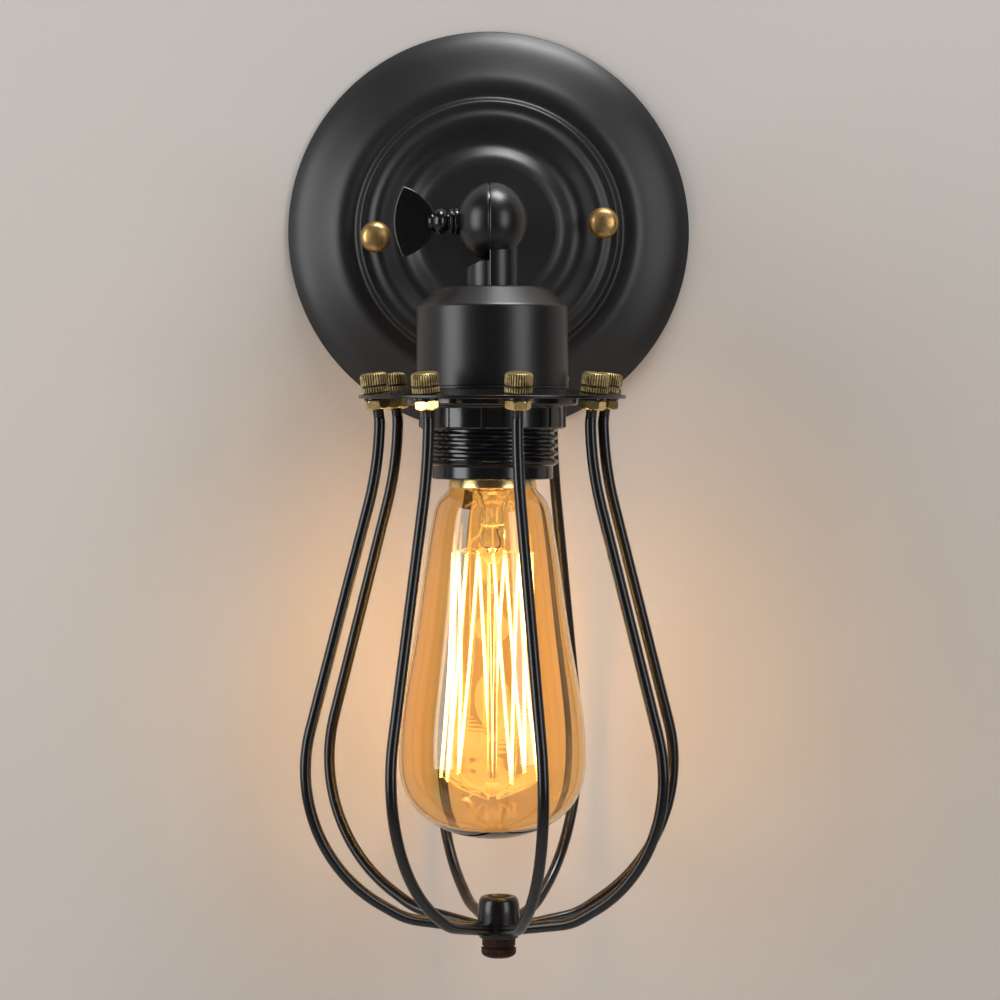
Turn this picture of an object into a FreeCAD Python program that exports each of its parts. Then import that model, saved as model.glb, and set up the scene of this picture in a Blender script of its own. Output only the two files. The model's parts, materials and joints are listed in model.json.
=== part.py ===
"""Cage wall light: a round canopy, a ball knuckle, a socket cup and a bottle lamp in a wire cage.

Millimetres. The origin is the middle of the mounting bracket's back face, on the wall.
+Z is up, +X is the viewer's right and the lamp stands out from the wall towards -Y.
"""
import FreeCAD
import Part
import math
import os

# ---------------------------------------------------------------- wall side
CANOPY_DIAMETER = 132.0
CANOPY_SHEET = 1.0
FACE_RADIUS = 21.5          # flat disc in the middle
FACE_DEPTH = 15.0           # how far the disc stands out from the wall
VALLEY_RADIUS = 30.5
VALLEY_DEPTH = 11.4
BULGE_DEPTH = 13.6
DIP_RADIUS = 40.3
DIP_DEPTH = 12.6
RIDGE_RADIUS = 41.9
RIDGE_DEPTH = 12.8
GROOVE_RADIUS = 43.4
GROOVE_DEPTH = 10.4
SHOULDER_RADIUS = 46.6
SHOULDER_DEPTH = 10.5
COVE_RADIUS = 51.6
COVE_DEPTH = 9.2
RIM_CREST_RADIUS = 57.5
RIM_CREST_DEPTH = 6.6
RIM_SLOPE_RADIUS = 63.2
RIM_SLOPE_DEPTH = 3.5

STUD_SPACING = 74.2         # between the two dome cap nuts
STUD_TURN = 3.5             # degrees, the left nut sits lower than the right one
STUD_DIAMETER = 4.0
STUD_HEAD_DIAMETER = 7.6
STUD_HEAD_HEIGHT = 2.4
CAP_NUT_DIAMETER = 10.2
CAP_NUT_RIM = 2.2           # straight side under the dome
CAP_NUT_DOME = 3.0
CAP_NUT_THREAD_DEPTH = 3.8
SMALL_NUT_ACROSS = 7.0
SMALL_NUT_HEIGHT = 3.0

BRACKET_WIDTH = 18.0
BRACKET_SHEET = 1.5
BRACKET_LENGTH = 92.0
BRACKET_LIFT = 3.2          # raised ends leave room for the stud heads
BRACKET_FLAT_HALF = 28.0    # half length of the part that lies on the wall
BRACKET_RAMP = 3.5
WALL_HOLE_SPACING = 48.0
WALL_HOLE_DIAMETER = 5.0
CABLE_HOLE_DIAMETER = 12.0

# ---------------------------------------------------------------- arm and knuckle
ARM_REACH = 64.0            # wall to the knuckle's turning axis
PIPE_THREAD = 10.0          # hollow threaded rods
PIPE_BORE = 7.4
PIPE_NUT_ACROSS = 14.0
PIPE_NUT_HEIGHT = 3.0
TOOTH_WASHER_DIAMETER = 17.0
TOOTH_WASHER_THICKNESS = 0.8
TOOTH_WASHER_TEETH = 12
TOOTH_GAP_WIDTH = 1.8
TOOTH_GAP_DEPTH = 1.4
ARM_DIAMETER = 13.0
ARM_BOSS_REACH = 18.6       # from the turning axis to the boss's end face
KNUCKLE_RADIUS = 12.1       # square to the turning axis
KNUCKLE_HALF_WIDTH = 10.9   # along the turning axis
KNUCKLE_WALL = 2.5
SEAM_OFFSET = -1.1          # the joint between the halves lies left of the middle
PIPE_STOP_MARGIN = 3.4      # from the knuckle's surface to the end of each hollow rod
LEAD_WAY_DIAMETER = 5.0     # way for the leads through each half's own side of the ball
FRICTION_WASHER_THICKNESS = 0.4
NOTCH_FLAT = 2.4            # level part of the cut that clears the other half
NOTCH_SLOPE = 0.46          # fall of the rest of the cut
STEM_DIAMETER = 16.0
CLAMP_SCREW_DIAMETER = 5.0
CLAMP_BOSS_DIAMETER = 9.0
CLAMP_BOSS_START = 4.8
CLAMP_COLLAR_DIAMETER = 8.7
CLAMP_COLLAR_LENGTH = 3.0
CLAMP_BEAD_DIAMETER = 8.3
CLAMP_BEAD_LENGTH = 5.9
WING_HEIGHT = 22.4
WING_REACH = 11.6           # from the bead to the wing's outer edge
WING_THICKNESS = 2.2
WING_WAIST = 5.4
WING_TIP_INSET = 3.0

# ---------------------------------------------------------------- socket cup and lampholder
CUP_TOP = 20.3              # below the turning axis
CUP_DIAMETER = 47.0
CUP_HEIGHT = 31.6
CUP_WALL = 1.2
CUP_SHOULDER_WIDTH = 7.0       # cone between the flat top and the side
CUP_SHOULDER_HEIGHT = 6.0
CUP_TOP_BEND = 1.6
CUP_SIDE_BEND = 3.4
PLATE_DIAMETER = 83.0
PLATE_THICKNESS = 1.1
PLATE_FLAT_DIAMETER = 55.0     # clamped middle; the rest of the plate falls outwards
PLATE_SLOPE = 8.0              # degrees
HOLDER_THREAD_DIAMETER = 41.0
HOLDER_THREAD_PITCH = 2.5
HOLDER_THREAD_DEPTH = 1.4
HOLDER_BELOW_PLATE = 26.7
HOLDER_LIP = 4.0            # smooth rim under the coarse thread
HOLDER_LIP_DIAMETER = 37.6
HOLDER_BORE = 30.0
HOLDER_TOP_GAP = 1.0        # air between the lock nut and the holder's cap
HOLDER_CAP_DIAMETER = 38.0
HOLDER_CAP_HEIGHT = 20.0
HOLDER_CAP_WALL = 2.4
INSERT_HEIGHT = 7.5
INSERT_DIAMETER = 31.0
SHELL_BORE = 27.0
SHELL_WALL = 0.5
SHELL_LENGTH = 20.0
CONTACT_THICKNESS = 0.5
CONTACT_WIDTH = 6.0
CONTACT_RECESS_DIAMETER = 23.0
CONTACT_RECESS_DEPTH = 2.0
TERMINAL_SPACING = 17.0
TERMINAL_HEAD_DIAMETER = 5.0
TERMINAL_SCREW_DIAMETER = 3.0
RETAINER_FLANGE_DIAMETER = 53.0
RETAINER_FLANGE_HEIGHT = 3.9
RETAINER_BODY_DIAMETER = 44.8
RETAINER_BODY_HEIGHT = 7.3
RETAINER_RIBS = 12
RETAINER_RIB_WIDTH = 1.3
RETAINER_RIB_HEIGHT = 0.5
RETAINER_RIB_TURN = 22.0       # degrees, first rib from the viewer's side towards the right

# ---------------------------------------------------------------- cage
WIRE_COUNT = 8
WIRE_DIAMETER = 3.5
WIRE_TURN = 11.2            # degrees, first wire's hole from the viewer's side towards the right
CAGE_TWIST = 4.0            # degrees, the bows are turned this much further than the holes
WIRE_CIRCLE_DIAMETER = 73.4    # holes in the plate
DROP_CIRCLE_DIAMETER = 72.0    # upright parts of the wires
DROP_START = 9.0               # below the plate, where a wire bends from its nut to upright
DROP_BEND = 16.0
WIRE_TOP = 5.0              # threaded end above the plate
SLANT_START = 24.6          # below the plate, where the straight drop bends outwards
BELLY_OUT = 31.2            # outwards from the circle of holes to the belly's corner
BELLY_DROP = 139.7
FLOOR_IN = 8.2              # inwards from the circle of holes to the last bend
FLOOR_DROP = 168.0  # where the lowest runs would meet in the hub
FLOOR_SLOPE = 9.5          # degrees, the lowest runs fall towards the hub
SLANT_BEND = 103.0
BELLY_BEND = 48.5
FLOOR_BEND = 23.0
HUB_DIAMETER = 13.0
HUB_BORE = 6.4
HUB_ABOVE_WIRES = 10.9
HUB_BELOW_WIRES = 2.0
HUB_OFFSET = 2.0            # the hub sits a little to the right of the lamp's axis
HUB_SOCKET_DEPTH = 1.4
HUB_SCREW_HEAD_DIAMETER = 10.8
HUB_SCREW_HEAD_HEIGHT = 6.2
HUB_SCREW_GROOVE = 0.7
HUB_SCREW_SHANK = 6.0
KNURLED_NUT_DIAMETER = 8.6
KNURLED_NUT_HEIGHT = 6.4
KNURLED_NUT_BAND = 1.8      # lower knurled band
KNURLED_NUT_GROOVE = 0.7
KNURLED_NUT_THREAD_DEPTH = 5.2
WIRE_WASHER_DIAMETER = 7.6
WIRE_WASHER_THICKNESS = 0.8

# ---------------------------------------------------------------- lamp
BULB_TIP_BELOW_AXIS = 57.4  # centre contact, below the turning axis
BULB_CAP_LENGTH = 25.0
BULB_CAP_DIAMETER = 26.2
BULB_CAP_ROOT_DIAMETER = 24.4
BULB_CAP_PITCH = 3.62
BULB_CAP_RIM_DIAMETER = 27.6
BULB_CAP_RIM_LENGTH = 4.4
BULB_CAP_SHEET = 0.4
BULB_CONTACT_DIAMETER = 9.5
BULB_CONTACT_HEIGHT = 1.5
BULB_INSULATOR_HEIGHT = 3.4
BULB_LENGTH = 134.0         # from the centre contact to the lamp's lower end
BULB_DIAMETER = 58.0
BULB_NECK_DIAMETER = 25.8
BULB_SHOULDER_DIAMETER = 37.0
BULB_SHOULDER_DROP = 9.5    # below the metal cap
BULB_BELLY_RISE = 25.9      # above the lamp's lower end
BULB_GLASS_WALL = 0.9
MOUNT_TUBE_DIAMETER = 8.0
MOUNT_PINCH_DROP = 19.0     # below the metal cap
MOUNT_ROD_DIAMETER = 3.2
FILAMENT_TOP_DROP = 20.0    # upper bends, below the metal cap
FILAMENT_BOTTOM_RISE = 18.9 # lower bends, above the lamp's lower end
FILAMENT_TOP_RADIUS = 12.3
FILAMENT_BOTTOM_RADIUS = 16.2
FILAMENT_HOOKS = 9
FILAMENT_WIRE = 0.6
SUPPORT_WIRE = 0.5
SUPPORT_BUTTON = 1.2        # how far each button stands out from the glass rod
HOOK_GAP = 0.25             # between a support wire's end and the filament
LEAD_IN_WIRE = 0.7

# ---------------------------------------------------------------- wiring inside
LEAD_DIAMETER = 1.8
LEAD_SPACING = 1.9
LEAD_IN_ARM = -2.5          # the leads pass the ball left of the seam in the arm ...
LEAD_IN_STEM = 0.7          # ... and right of it in the stem
KNUCKLE_LEAD_BEND = 8.0
KNUCKLE_LEAD_REACH = 6.6    # where the outer lead starts its turn round the clamp screw
BLOCK_LENGTH = 16.0
BLOCK_WIDTH = 9.0
BLOCK_HEIGHT = 7.6
BLOCK_OFFSET = 12.4         # along the bracket from its middle
BLOCK_POLE_SPACING = 8.0
BLOCK_TUBE_DIAMETER = 4.4
BLOCK_TUBE_RISE = 3.4       # from the bracket to the middle of the tubes
BLOCK_SCREW_DIAMETER = 2.6
BLOCK_FIXING_DIAMETER = 2.2
EARTH_LUG_THICKNESS = 0.8
EARTH_LUG_DIAMETER = 15.0
EARTH_TAIL_LENGTH = 9.0
EARTH_TAIL_WIDTH = 6.0
EARTH_SCREW_DIAMETER = 3.5
EARTH_SCREW_HEAD_DIAMETER = 6.4
EARTH_SCREW_HEAD_HEIGHT = 1.8
EARTH_SCREW_PLACE = 12.9    # from the arm's axis

# ---------------------------------------------------------------- clearances
THREAD_GAP = 0.05
HOLE_GAP = 0.3
TURNING_GAP = 0.35
SEAT_GAP = 0.05

CANOPY_RADIUS = CANOPY_DIAMETER / 2
PLATE_TOP = -CUP_TOP - CUP_HEIGHT
PLATE_BOTTOM = PLATE_TOP - PLATE_THICKNESS
HOLDER_BOTTOM = PLATE_BOTTOM - HOLDER_BELOW_PLATE
WIRE_RADIUS = WIRE_DIAMETER / 2
FLOOR_LEVEL = PLATE_TOP - FLOOR_DROP
BULB_TIP = -BULB_TIP_BELOW_AXIS
BULB_RIM = BULB_TIP - BULB_CAP_LENGTH
BULB_END = BULB_TIP - BULB_LENGTH
FILAMENT_BOTTOM = BULB_END + FILAMENT_BOTTOM_RISE
PIPE_NUT_TOP = -CUP_TOP - CUP_WALL
HOLDER_CAP_TOP = PIPE_NUT_TOP - PIPE_NUT_HEIGHT - HOLDER_TOP_GAP
INSERT_TOP = HOLDER_CAP_TOP - HOLDER_CAP_HEIGHT
INSERT_BOTTOM = INSERT_TOP - INSERT_HEIGHT
BLOCK_TUBE_LEVEL = BRACKET_SHEET + BLOCK_TUBE_RISE

UP = FreeCAD.Vector(0, 0, 1)
RIGHT = FreeCAD.Vector(1, 0, 0)
ORIGIN = FreeCAD.Vector(0, 0, 0)


# ---------------------------------------------------------------- helpers
def cylinder(diameter, start, length, x=0.0, y=0.0):
    """Upright cylinder from the height start, length upwards."""
    return Part.makeCylinder(diameter / 2, length, FreeCAD.Vector(x, y, start), UP)


def ring(outer, inner, start, length, x=0.0, y=0.0):
    """Upright tube."""
    bore = cylinder(inner, start - 1, length + 2, x, y)
    return cylinder(outer, start, length, x, y).cut(bore)


def box(x_range, y_range, z_range):
    """Box between the three pairs of limits."""
    size = [high - low for low, high in (x_range, y_range, z_range)]
    corner = FreeCAD.Vector(x_range[0], y_range[0], z_range[0])
    return Part.makeBox(size[0], size[1], size[2], corner)


def hexagon(across_flats, bore, start, height):
    """Upright hexagon nut."""
    corner = across_flats / math.sqrt(3)
    angles = [math.radians(60 * side) for side in range(7)]
    points = [FreeCAD.Vector(corner * math.cos(a), corner * math.sin(a), start) for a in angles]
    block = Part.Face(Part.makePolygon(points)).extrude(UP * height)
    chamfer = across_flats * 0.06
    cone = turned([(0, start), (corner - chamfer, start), (corner, start + chamfer),
                   (corner, start + height - chamfer), (corner - chamfer, start + height),
                   (0, start + height)])
    return block.common(cone).cut(cylinder(bore, start - 1, height + 2))


def turned(outline):
    """Solid turned about Z from (radius, height) corners."""
    points = [FreeCAD.Vector(radius, 0, height) for radius, height in outline]
    points.append(points[0])
    return Part.Face(Part.makePolygon(points)).revolve(ORIGIN, UP, 360)


def curve(outline):
    """Smooth curve through (radius, height) points."""
    spline = Part.BSplineCurve()
    spline.interpolate([FreeCAD.Vector(radius, 0, height) for radius, height in outline])
    return spline.toShape()


def line(start, end):
    """Straight edge between two (radius, height) points."""
    return Part.makeLine(FreeCAD.Vector(start[0], 0, start[1]), FreeCAD.Vector(end[0], 0, end[1]))


def turned_edges(edges):
    """Solid turned about Z from edges that close an outline."""
    face = Part.Face(Part.Wire(Part.__sortEdges__(edges)))
    return face.revolve(ORIGIN, UP, 360)


def inset(outline, distance):
    """The same outline moved square to itself, to the right of its direction."""
    moved = []
    for index, (radius, height) in enumerate(outline):
        before = outline[max(index - 1, 0)]
        after = outline[min(index + 1, len(outline) - 1)]
        step_r = after[0] - before[0]
        step_z = after[1] - before[1]
        length = math.hypot(step_r, step_z)
        moved.append((radius + step_z / length * distance, height - step_r / length * distance))
    return moved


def rounded_path(points, bends):
    """Straight runs joined by tangent arcs; bends holds one radius per inner point."""
    edges = []
    start = points[0]
    for index, bend in enumerate(bends, start=1):
        corner = points[index]
        to_before = (points[index - 1] - corner).normalize()
        to_after = (points[index + 1] - corner).normalize()
        half_angle = to_before.getAngle(to_after) / 2
        tangent = bend / math.tan(half_angle)
        first = corner + to_before * tangent
        last = corner + to_after * tangent
        bisector = (to_before + to_after).normalize()
        middle = corner + bisector * (bend / math.sin(half_angle) - bend)
        if (first - start).Length > 0.01:
            edges.append(Part.LineSegment(start, first).toShape())
        edges.append(Part.Arc(first, middle, last).toShape())
        start = last
    edges.append(Part.LineSegment(start, points[-1]).toShape())
    return Part.Wire(edges)


def rounded_outline(outline, bends):
    """Edges of an outline of (radius, height) corners with its inner corners rounded."""
    return rounded_path([FreeCAD.Vector(radius, 0, height) for radius, height in outline], bends).Edges


def round_bar(path, diameter):
    """Round bar swept along a path."""
    start = path.Edges[0].valueAt(path.Edges[0].FirstParameter)
    along = path.Edges[0].tangentAt(path.Edges[0].FirstParameter)
    section = Part.Wire(Part.makeCircle(diameter / 2, start, along))
    return path.makePipeShell([section], True, False)


def straight_bar(start, end, diameter):
    """Round bar between two points."""
    return Part.makeCylinder(diameter / 2, (end - start).Length, start, end - start)


def fused(shapes):
    """One solid from shapes that overlap."""
    return shapes[0].multiFuse(shapes[1:]).removeSplitter()


def moved(shape, vector):
    """A copy of the shape moved by a vector."""
    copy = shape.copy()
    copy.translate(vector)
    return copy


def rotated(shape, axis, degrees):
    """A copy of the shape turned about an axis through the origin."""
    copy = shape.copy()
    copy.rotate(ORIGIN, axis, degrees)
    return copy


def on_wall(shape):
    """Turn a piece that was drawn standing on Z so that it stands out from the wall."""
    return rotated(shape, RIGHT, 90)


def on_studs(shape):
    """Turn a piece about the canopy's middle with the bracket and its studs."""
    return rotated(shape, UP, STUD_TURN)


def in_head(shape):
    """Move a piece that was drawn about the knuckle's middle to its place in front of the wall."""
    return moved(shape, FreeCAD.Vector(0, -ARM_REACH, 0))


def radial(radius, degrees, height):
    """Point at an angle measured from the viewer's side towards the right."""
    angle = math.radians(degrees)
    return FreeCAD.Vector(radius * math.sin(angle), -radius * math.cos(angle), height)


def export(name, shape):
    """Write one node."""
    shape.exportStep("parts/" + name + ".step")


# ---------------------------------------------------------------- canopy and bracket
def canopy_outline():
    """Front of the pressed sheet beyond the flat disc, as (radius, depth) points."""
    return [
        (FACE_RADIUS, FACE_DEPTH),
        (FACE_RADIUS + 2.2, FACE_DEPTH - 0.5),
        (VALLEY_RADIUS - 3.0, VALLEY_DEPTH + 0.6),
        (VALLEY_RADIUS, VALLEY_DEPTH),
        (STUD_SPACING / 2 - 3.0, BULGE_DEPTH - 0.7),
        (STUD_SPACING / 2, BULGE_DEPTH),
        (DIP_RADIUS, DIP_DEPTH),
        (RIDGE_RADIUS, RIDGE_DEPTH),
        (GROOVE_RADIUS, GROOVE_DEPTH),
        (SHOULDER_RADIUS, SHOULDER_DEPTH),
        (COVE_RADIUS, COVE_DEPTH),
        (RIM_CREST_RADIUS, RIM_CREST_DEPTH),
        (RIM_SLOPE_RADIUS, RIM_SLOPE_DEPTH),
        (CANOPY_RADIUS, CANOPY_SHEET),
    ]


def canopy():
    """Pressed steel canopy with its hollow open to the wall."""
    front = canopy_outline()
    back = [(radius, depth - CANOPY_SHEET) for radius, depth in front]
    edges = [
        line((0, FACE_DEPTH), front[0]),
        curve(front),
        line(front[-1], back[-1]),
        curve(back),
        line(back[0], (0, FACE_DEPTH - CANOPY_SHEET)),
        line((0, FACE_DEPTH - CANOPY_SHEET), (0, FACE_DEPTH)),
    ]
    shell = turned_edges(edges)
    shell = shell.cut(cylinder(PIPE_THREAD + 2 * HOLE_GAP, 0, FACE_DEPTH + 1))
    for x in stud_places():
        shell = shell.cut(cylinder(STUD_DIAMETER + 2 * HOLE_GAP, 0, FACE_DEPTH + 1, x))
    return on_wall(on_studs(shell))


def bulge_top():
    """Greatest depth of the pressed bulge that the dome nuts sit on."""
    front = curve(canopy_outline())
    points = front.discretize(400)
    return max(point.z for point in points if VALLEY_RADIUS < point.x < DIP_RADIUS)


def stud_places():
    """Distances of the two studs from the middle, along the bracket."""
    return [-STUD_SPACING / 2, STUD_SPACING / 2]


def mounting_bracket():
    """Strip that lies on the wall, with raised ends that hold the studs."""
    half = BRACKET_LENGTH / 2
    ramp_end = BRACKET_FLAT_HALF + BRACKET_RAMP
    lower = [(-half, BRACKET_LIFT), (-ramp_end, BRACKET_LIFT), (-BRACKET_FLAT_HALF, 0),
             (BRACKET_FLAT_HALF, 0), (ramp_end, BRACKET_LIFT), (half, BRACKET_LIFT)]
    upper = [(x, depth + BRACKET_SHEET) for x, depth in reversed(lower)]
    points = [FreeCAD.Vector(x, -BRACKET_WIDTH / 2, depth) for x, depth in lower + upper]
    points.append(points[0])
    strip = Part.Face(Part.makePolygon(points)).extrude(FreeCAD.Vector(0, BRACKET_WIDTH, 0))
    strip = strip.cut(cylinder(CABLE_HOLE_DIAMETER, -1, BRACKET_SHEET + 2))
    for side in (-1, 1):
        x = side * WALL_HOLE_SPACING / 2
        strip = strip.cut(cylinder(WALL_HOLE_DIAMETER, -1, BRACKET_SHEET + 2, x))
    for x in stud_places():
        hole = cylinder(STUD_DIAMETER + 2 * THREAD_GAP, 0, BRACKET_LIFT + BRACKET_SHEET + 1, x)
        strip = strip.cut(hole)
    fixing = cylinder(BLOCK_FIXING_DIAMETER + 2 * THREAD_GAP, -1, BRACKET_SHEET + 2, BLOCK_OFFSET)
    return on_wall(on_studs(strip.cut(fixing)))


def canopy_screws():
    """Two screws that stand out from the bracket through the canopy."""
    screws = []
    for x in stud_places():
        head = cylinder(STUD_HEAD_DIAMETER, BRACKET_LIFT - STUD_HEAD_HEIGHT - SEAT_GAP,
                        STUD_HEAD_HEIGHT, x)
        shank_end = bulge_top() + CAP_NUT_THREAD_DEPTH - 0.5
        shank_start = BRACKET_LIFT - STUD_HEAD_HEIGHT
        shank = cylinder(STUD_DIAMETER, shank_start, shank_end - shank_start, x)
        slot_x = (x - STUD_HEAD_DIAMETER, x + STUD_HEAD_DIAMETER)
        slot = box(slot_x, (-0.5, 0.5), (-1, shank_start + 0.6))
        screws.append(head.fuse(shank).cut(slot))
    return on_wall(on_studs(Part.makeCompound(screws)))


def stud_nuts():
    """Two hexagon nuts that lock the screws to the bracket."""
    start = BRACKET_LIFT + BRACKET_SHEET + SEAT_GAP
    nut = hexagon(SMALL_NUT_ACROSS, STUD_DIAMETER + 2 * THREAD_GAP, start, SMALL_NUT_HEIGHT)
    nuts = [moved(nut, RIGHT * x) for x in stud_places()]
    return on_wall(on_studs(Part.makeCompound(nuts)))


def cap_nuts():
    """Two round dome nuts that hold the canopy."""
    rim = CAP_NUT_DIAMETER / 2
    top = CAP_NUT_RIM + CAP_NUT_DOME
    edges = [
        line((0, 0), (rim - 0.4, 0)),
        line((rim - 0.4, 0), (rim, 0.4)),
        line((rim, 0.4), (rim, CAP_NUT_RIM)),
        curve([(rim, CAP_NUT_RIM), (rim * 0.82, CAP_NUT_RIM + CAP_NUT_DOME * 0.55),
               (rim * 0.42, top - CAP_NUT_DOME * 0.12), (0, top)]),
        line((0, top), (0, 0)),
    ]
    nut = turned_edges(edges).cut(cylinder(STUD_DIAMETER + 2 * THREAD_GAP, -1, CAP_NUT_THREAD_DEPTH + 1))
    seat = bulge_top() + SEAT_GAP
    nuts = [moved(nut, FreeCAD.Vector(x, 0, seat)) for x in stud_places()]
    return on_wall(on_studs(Part.makeCompound(nuts)))


# ---------------------------------------------------------------- arm
CANOPY_BACK = FACE_DEPTH - CANOPY_SHEET
ARM_PIPE_START = CANOPY_BACK - TOOTH_WASHER_THICKNESS - EARTH_LUG_THICKNESS - PIPE_NUT_HEIGHT - 1.0
ARM_PIPE_END = ARM_REACH - KNUCKLE_RADIUS - PIPE_STOP_MARGIN


def arm_nipple():
    """Hollow threaded rod that carries the arm and lets the leads through."""
    length = ARM_PIPE_END - ARM_PIPE_START
    return on_wall(ring(PIPE_THREAD, PIPE_BORE, ARM_PIPE_START, length))


def arm_sleeve():
    """Plain tube over the rod, from the canopy to the knuckle's boss."""
    length = ARM_REACH - ARM_BOSS_REACH - FACE_DEPTH - SEAT_GAP
    return on_wall(ring(ARM_DIAMETER, PIPE_THREAD + 2 * THREAD_GAP, FACE_DEPTH, length))


def arm_tooth_washer():
    """Lock washer with teeth cut into its rim, behind the canopy."""
    start = CANOPY_BACK - TOOTH_WASHER_THICKNESS
    washer = ring(TOOTH_WASHER_DIAMETER, PIPE_THREAD + 2 * THREAD_GAP, start, TOOTH_WASHER_THICKNESS)
    rim = TOOTH_WASHER_DIAMETER / 2
    half = TOOTH_GAP_WIDTH / 2
    gaps = []
    for index in range(TOOTH_WASHER_TEETH):
        gap = box((rim - TOOTH_GAP_DEPTH, 2 * rim), (-half, half), (0, CANOPY_BACK))
        gaps.append(rotated(gap, UP, 360 * index / TOOTH_WASHER_TEETH))
    return on_wall(washer.cut(Part.makeCompound(gaps)))


def earth_lug():
    """Flat ring under the lock nut with a tail for the earth screw."""
    start = CANOPY_BACK - TOOTH_WASHER_THICKNESS - EARTH_LUG_THICKNESS
    disc = cylinder(EARTH_LUG_DIAMETER, start, EARTH_LUG_THICKNESS)
    half = EARTH_TAIL_WIDTH / 2
    tail = box((-half, half), (0, EARTH_LUG_DIAMETER / 2 + EARTH_TAIL_LENGTH),
               (start, start + EARTH_LUG_THICKNESS))
    lug = disc.fuse(tail).removeSplitter()
    lug = lug.cut(cylinder(PIPE_THREAD + 2 * THREAD_GAP, 0, CANOPY_BACK))
    thread = cylinder(EARTH_SCREW_DIAMETER + 2 * THREAD_GAP, 0, CANOPY_BACK, 0, EARTH_SCREW_PLACE)
    return on_wall(lug.cut(thread))


def earth_screw():
    """Screw in the lug's tail for the house's earth conductor."""
    face = CANOPY_BACK - TOOTH_WASHER_THICKNESS - EARTH_LUG_THICKNESS - SEAT_GAP
    place = EARTH_SCREW_PLACE
    low = face - EARTH_SCREW_HEAD_HEIGHT
    head = cylinder(EARTH_SCREW_HEAD_DIAMETER, low, EARTH_SCREW_HEAD_HEIGHT, 0, place)
    shank_end = CANOPY_BACK - HOLE_GAP
    shank = cylinder(EARTH_SCREW_DIAMETER, face - 0.5, shank_end - face + 0.5, 0, place)
    slot = box((-4, 4), (place - 0.4, place + 0.4), (low - 1, low + 0.7))
    return on_wall(head.fuse(shank).removeSplitter().cut(slot))


def arm_lock_nut():
    """Hexagon nut that clamps the rod to the canopy."""
    start = CANOPY_BACK - TOOTH_WASHER_THICKNESS - EARTH_LUG_THICKNESS - PIPE_NUT_HEIGHT
    return on_wall(hexagon(PIPE_NUT_ACROSS, PIPE_THREAD + 2 * THREAD_GAP, start, PIPE_NUT_HEIGHT))


# ---------------------------------------------------------------- knuckle
def spheroid(radius, half_width):
    """Flattened ball about the turning axis, which runs along X."""
    steps = 8
    quarter = [math.radians(90 * index / steps) for index in range(steps + 1)]
    upper = [(radius * math.sin(a), half_width * math.cos(a)) for a in quarter]
    lower = [(radius * math.cos(a), -half_width * math.sin(a)) for a in quarter[1:]]
    arc = curve(upper + lower)
    axis = line((0, -half_width), (0, half_width))
    return rotated(turned_edges([arc, axis]), FreeCAD.Vector(0, 1, 0), 90)


def knuckle_side(side):
    """Large block that covers the left (-1) or right (+1) side of the seam."""
    reach = 3 * KNUCKLE_RADIUS
    seam = SEAM_OFFSET + side * FRICTION_WASHER_THICKNESS / 2
    x_range = (seam, reach) if side > 0 else (-reach, seam)
    return box(x_range, (-reach, reach), (-reach, reach))


def notch(side, boss_diameter):
    """Wedge that keeps a boss clear of the other half; it falls away from the seam."""
    own_face = SEAM_OFFSET + side * FRICTION_WASHER_THICKNESS / 2
    other_face = SEAM_OFFSET - side * FRICTION_WASHER_THICKNESS / 2
    start = KNUCKLE_RADIUS + TURNING_GAP
    far = boss_diameter
    points = [
        FreeCAD.Vector(own_face, -far, KNUCKLE_RADIUS),
        FreeCAD.Vector(own_face, -far, -start),
        FreeCAD.Vector(other_face - side * NOTCH_FLAT, -far, -start),
        FreeCAD.Vector(other_face - side * far, -far, -start - NOTCH_SLOPE * (far - NOTCH_FLAT)),
        FreeCAD.Vector(other_face - side * far, -far, KNUCKLE_RADIUS),
    ]
    points.append(points[0])
    return Part.Face(Part.makePolygon(points)).extrude(FreeCAD.Vector(0, 2 * far, 0))


def knuckle_half(side, boss_diameter, boss_reach, lead_way):
    """One half of the knuckle with a boss that points down, drawn about the turning axis."""
    ball = spheroid(KNUCKLE_RADIUS, KNUCKLE_HALF_WIDTH).common(knuckle_side(side))
    boss = cylinder(boss_diameter, -boss_reach, boss_reach).cut(notch(side, boss_diameter))
    body = fused([ball, boss])
    hollow = spheroid(KNUCKLE_RADIUS - KNUCKLE_WALL, KNUCKLE_HALF_WIDTH - KNUCKLE_WALL)
    body = body.cut(hollow)
    body = body.cut(cylinder(LEAD_WAY_DIAMETER, -boss_reach - 1, boss_reach + 1, lead_way))
    rod_end = KNUCKLE_RADIUS + PIPE_STOP_MARGIN - 0.4
    thread = cylinder(PIPE_THREAD + 2 * THREAD_GAP, -boss_reach - 1, boss_reach + 1 - rod_end)
    return body.cut(thread)


def knuckle_arm_half():
    """Left half, screwed on the arm; the clamp screw passes through it."""
    half = knuckle_half(-1, ARM_DIAMETER, ARM_BOSS_REACH, LEAD_IN_ARM)
    half = rotated(half, RIGHT, 90)
    hole = Part.makeCylinder(CLAMP_SCREW_DIAMETER / 2 + HOLE_GAP, 2 * KNUCKLE_RADIUS,
                             FreeCAD.Vector(-2 * KNUCKLE_RADIUS, 0, 0), RIGHT)
    face = Part.makeCylinder(CLAMP_COLLAR_DIAMETER / 2 + HOLE_GAP, KNUCKLE_RADIUS,
                             FreeCAD.Vector(collar_face() - KNUCKLE_RADIUS, 0, 0), RIGHT)
    return in_head(half.cut(hole).cut(face))


def collar_face():
    """Where the clamp screw's collar meets the ball: a small flat on the left pole."""
    share = 1 - (CLAMP_COLLAR_DIAMETER / 2 / KNUCKLE_RADIUS) ** 2
    return -KNUCKLE_HALF_WIDTH * math.sqrt(share)


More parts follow.
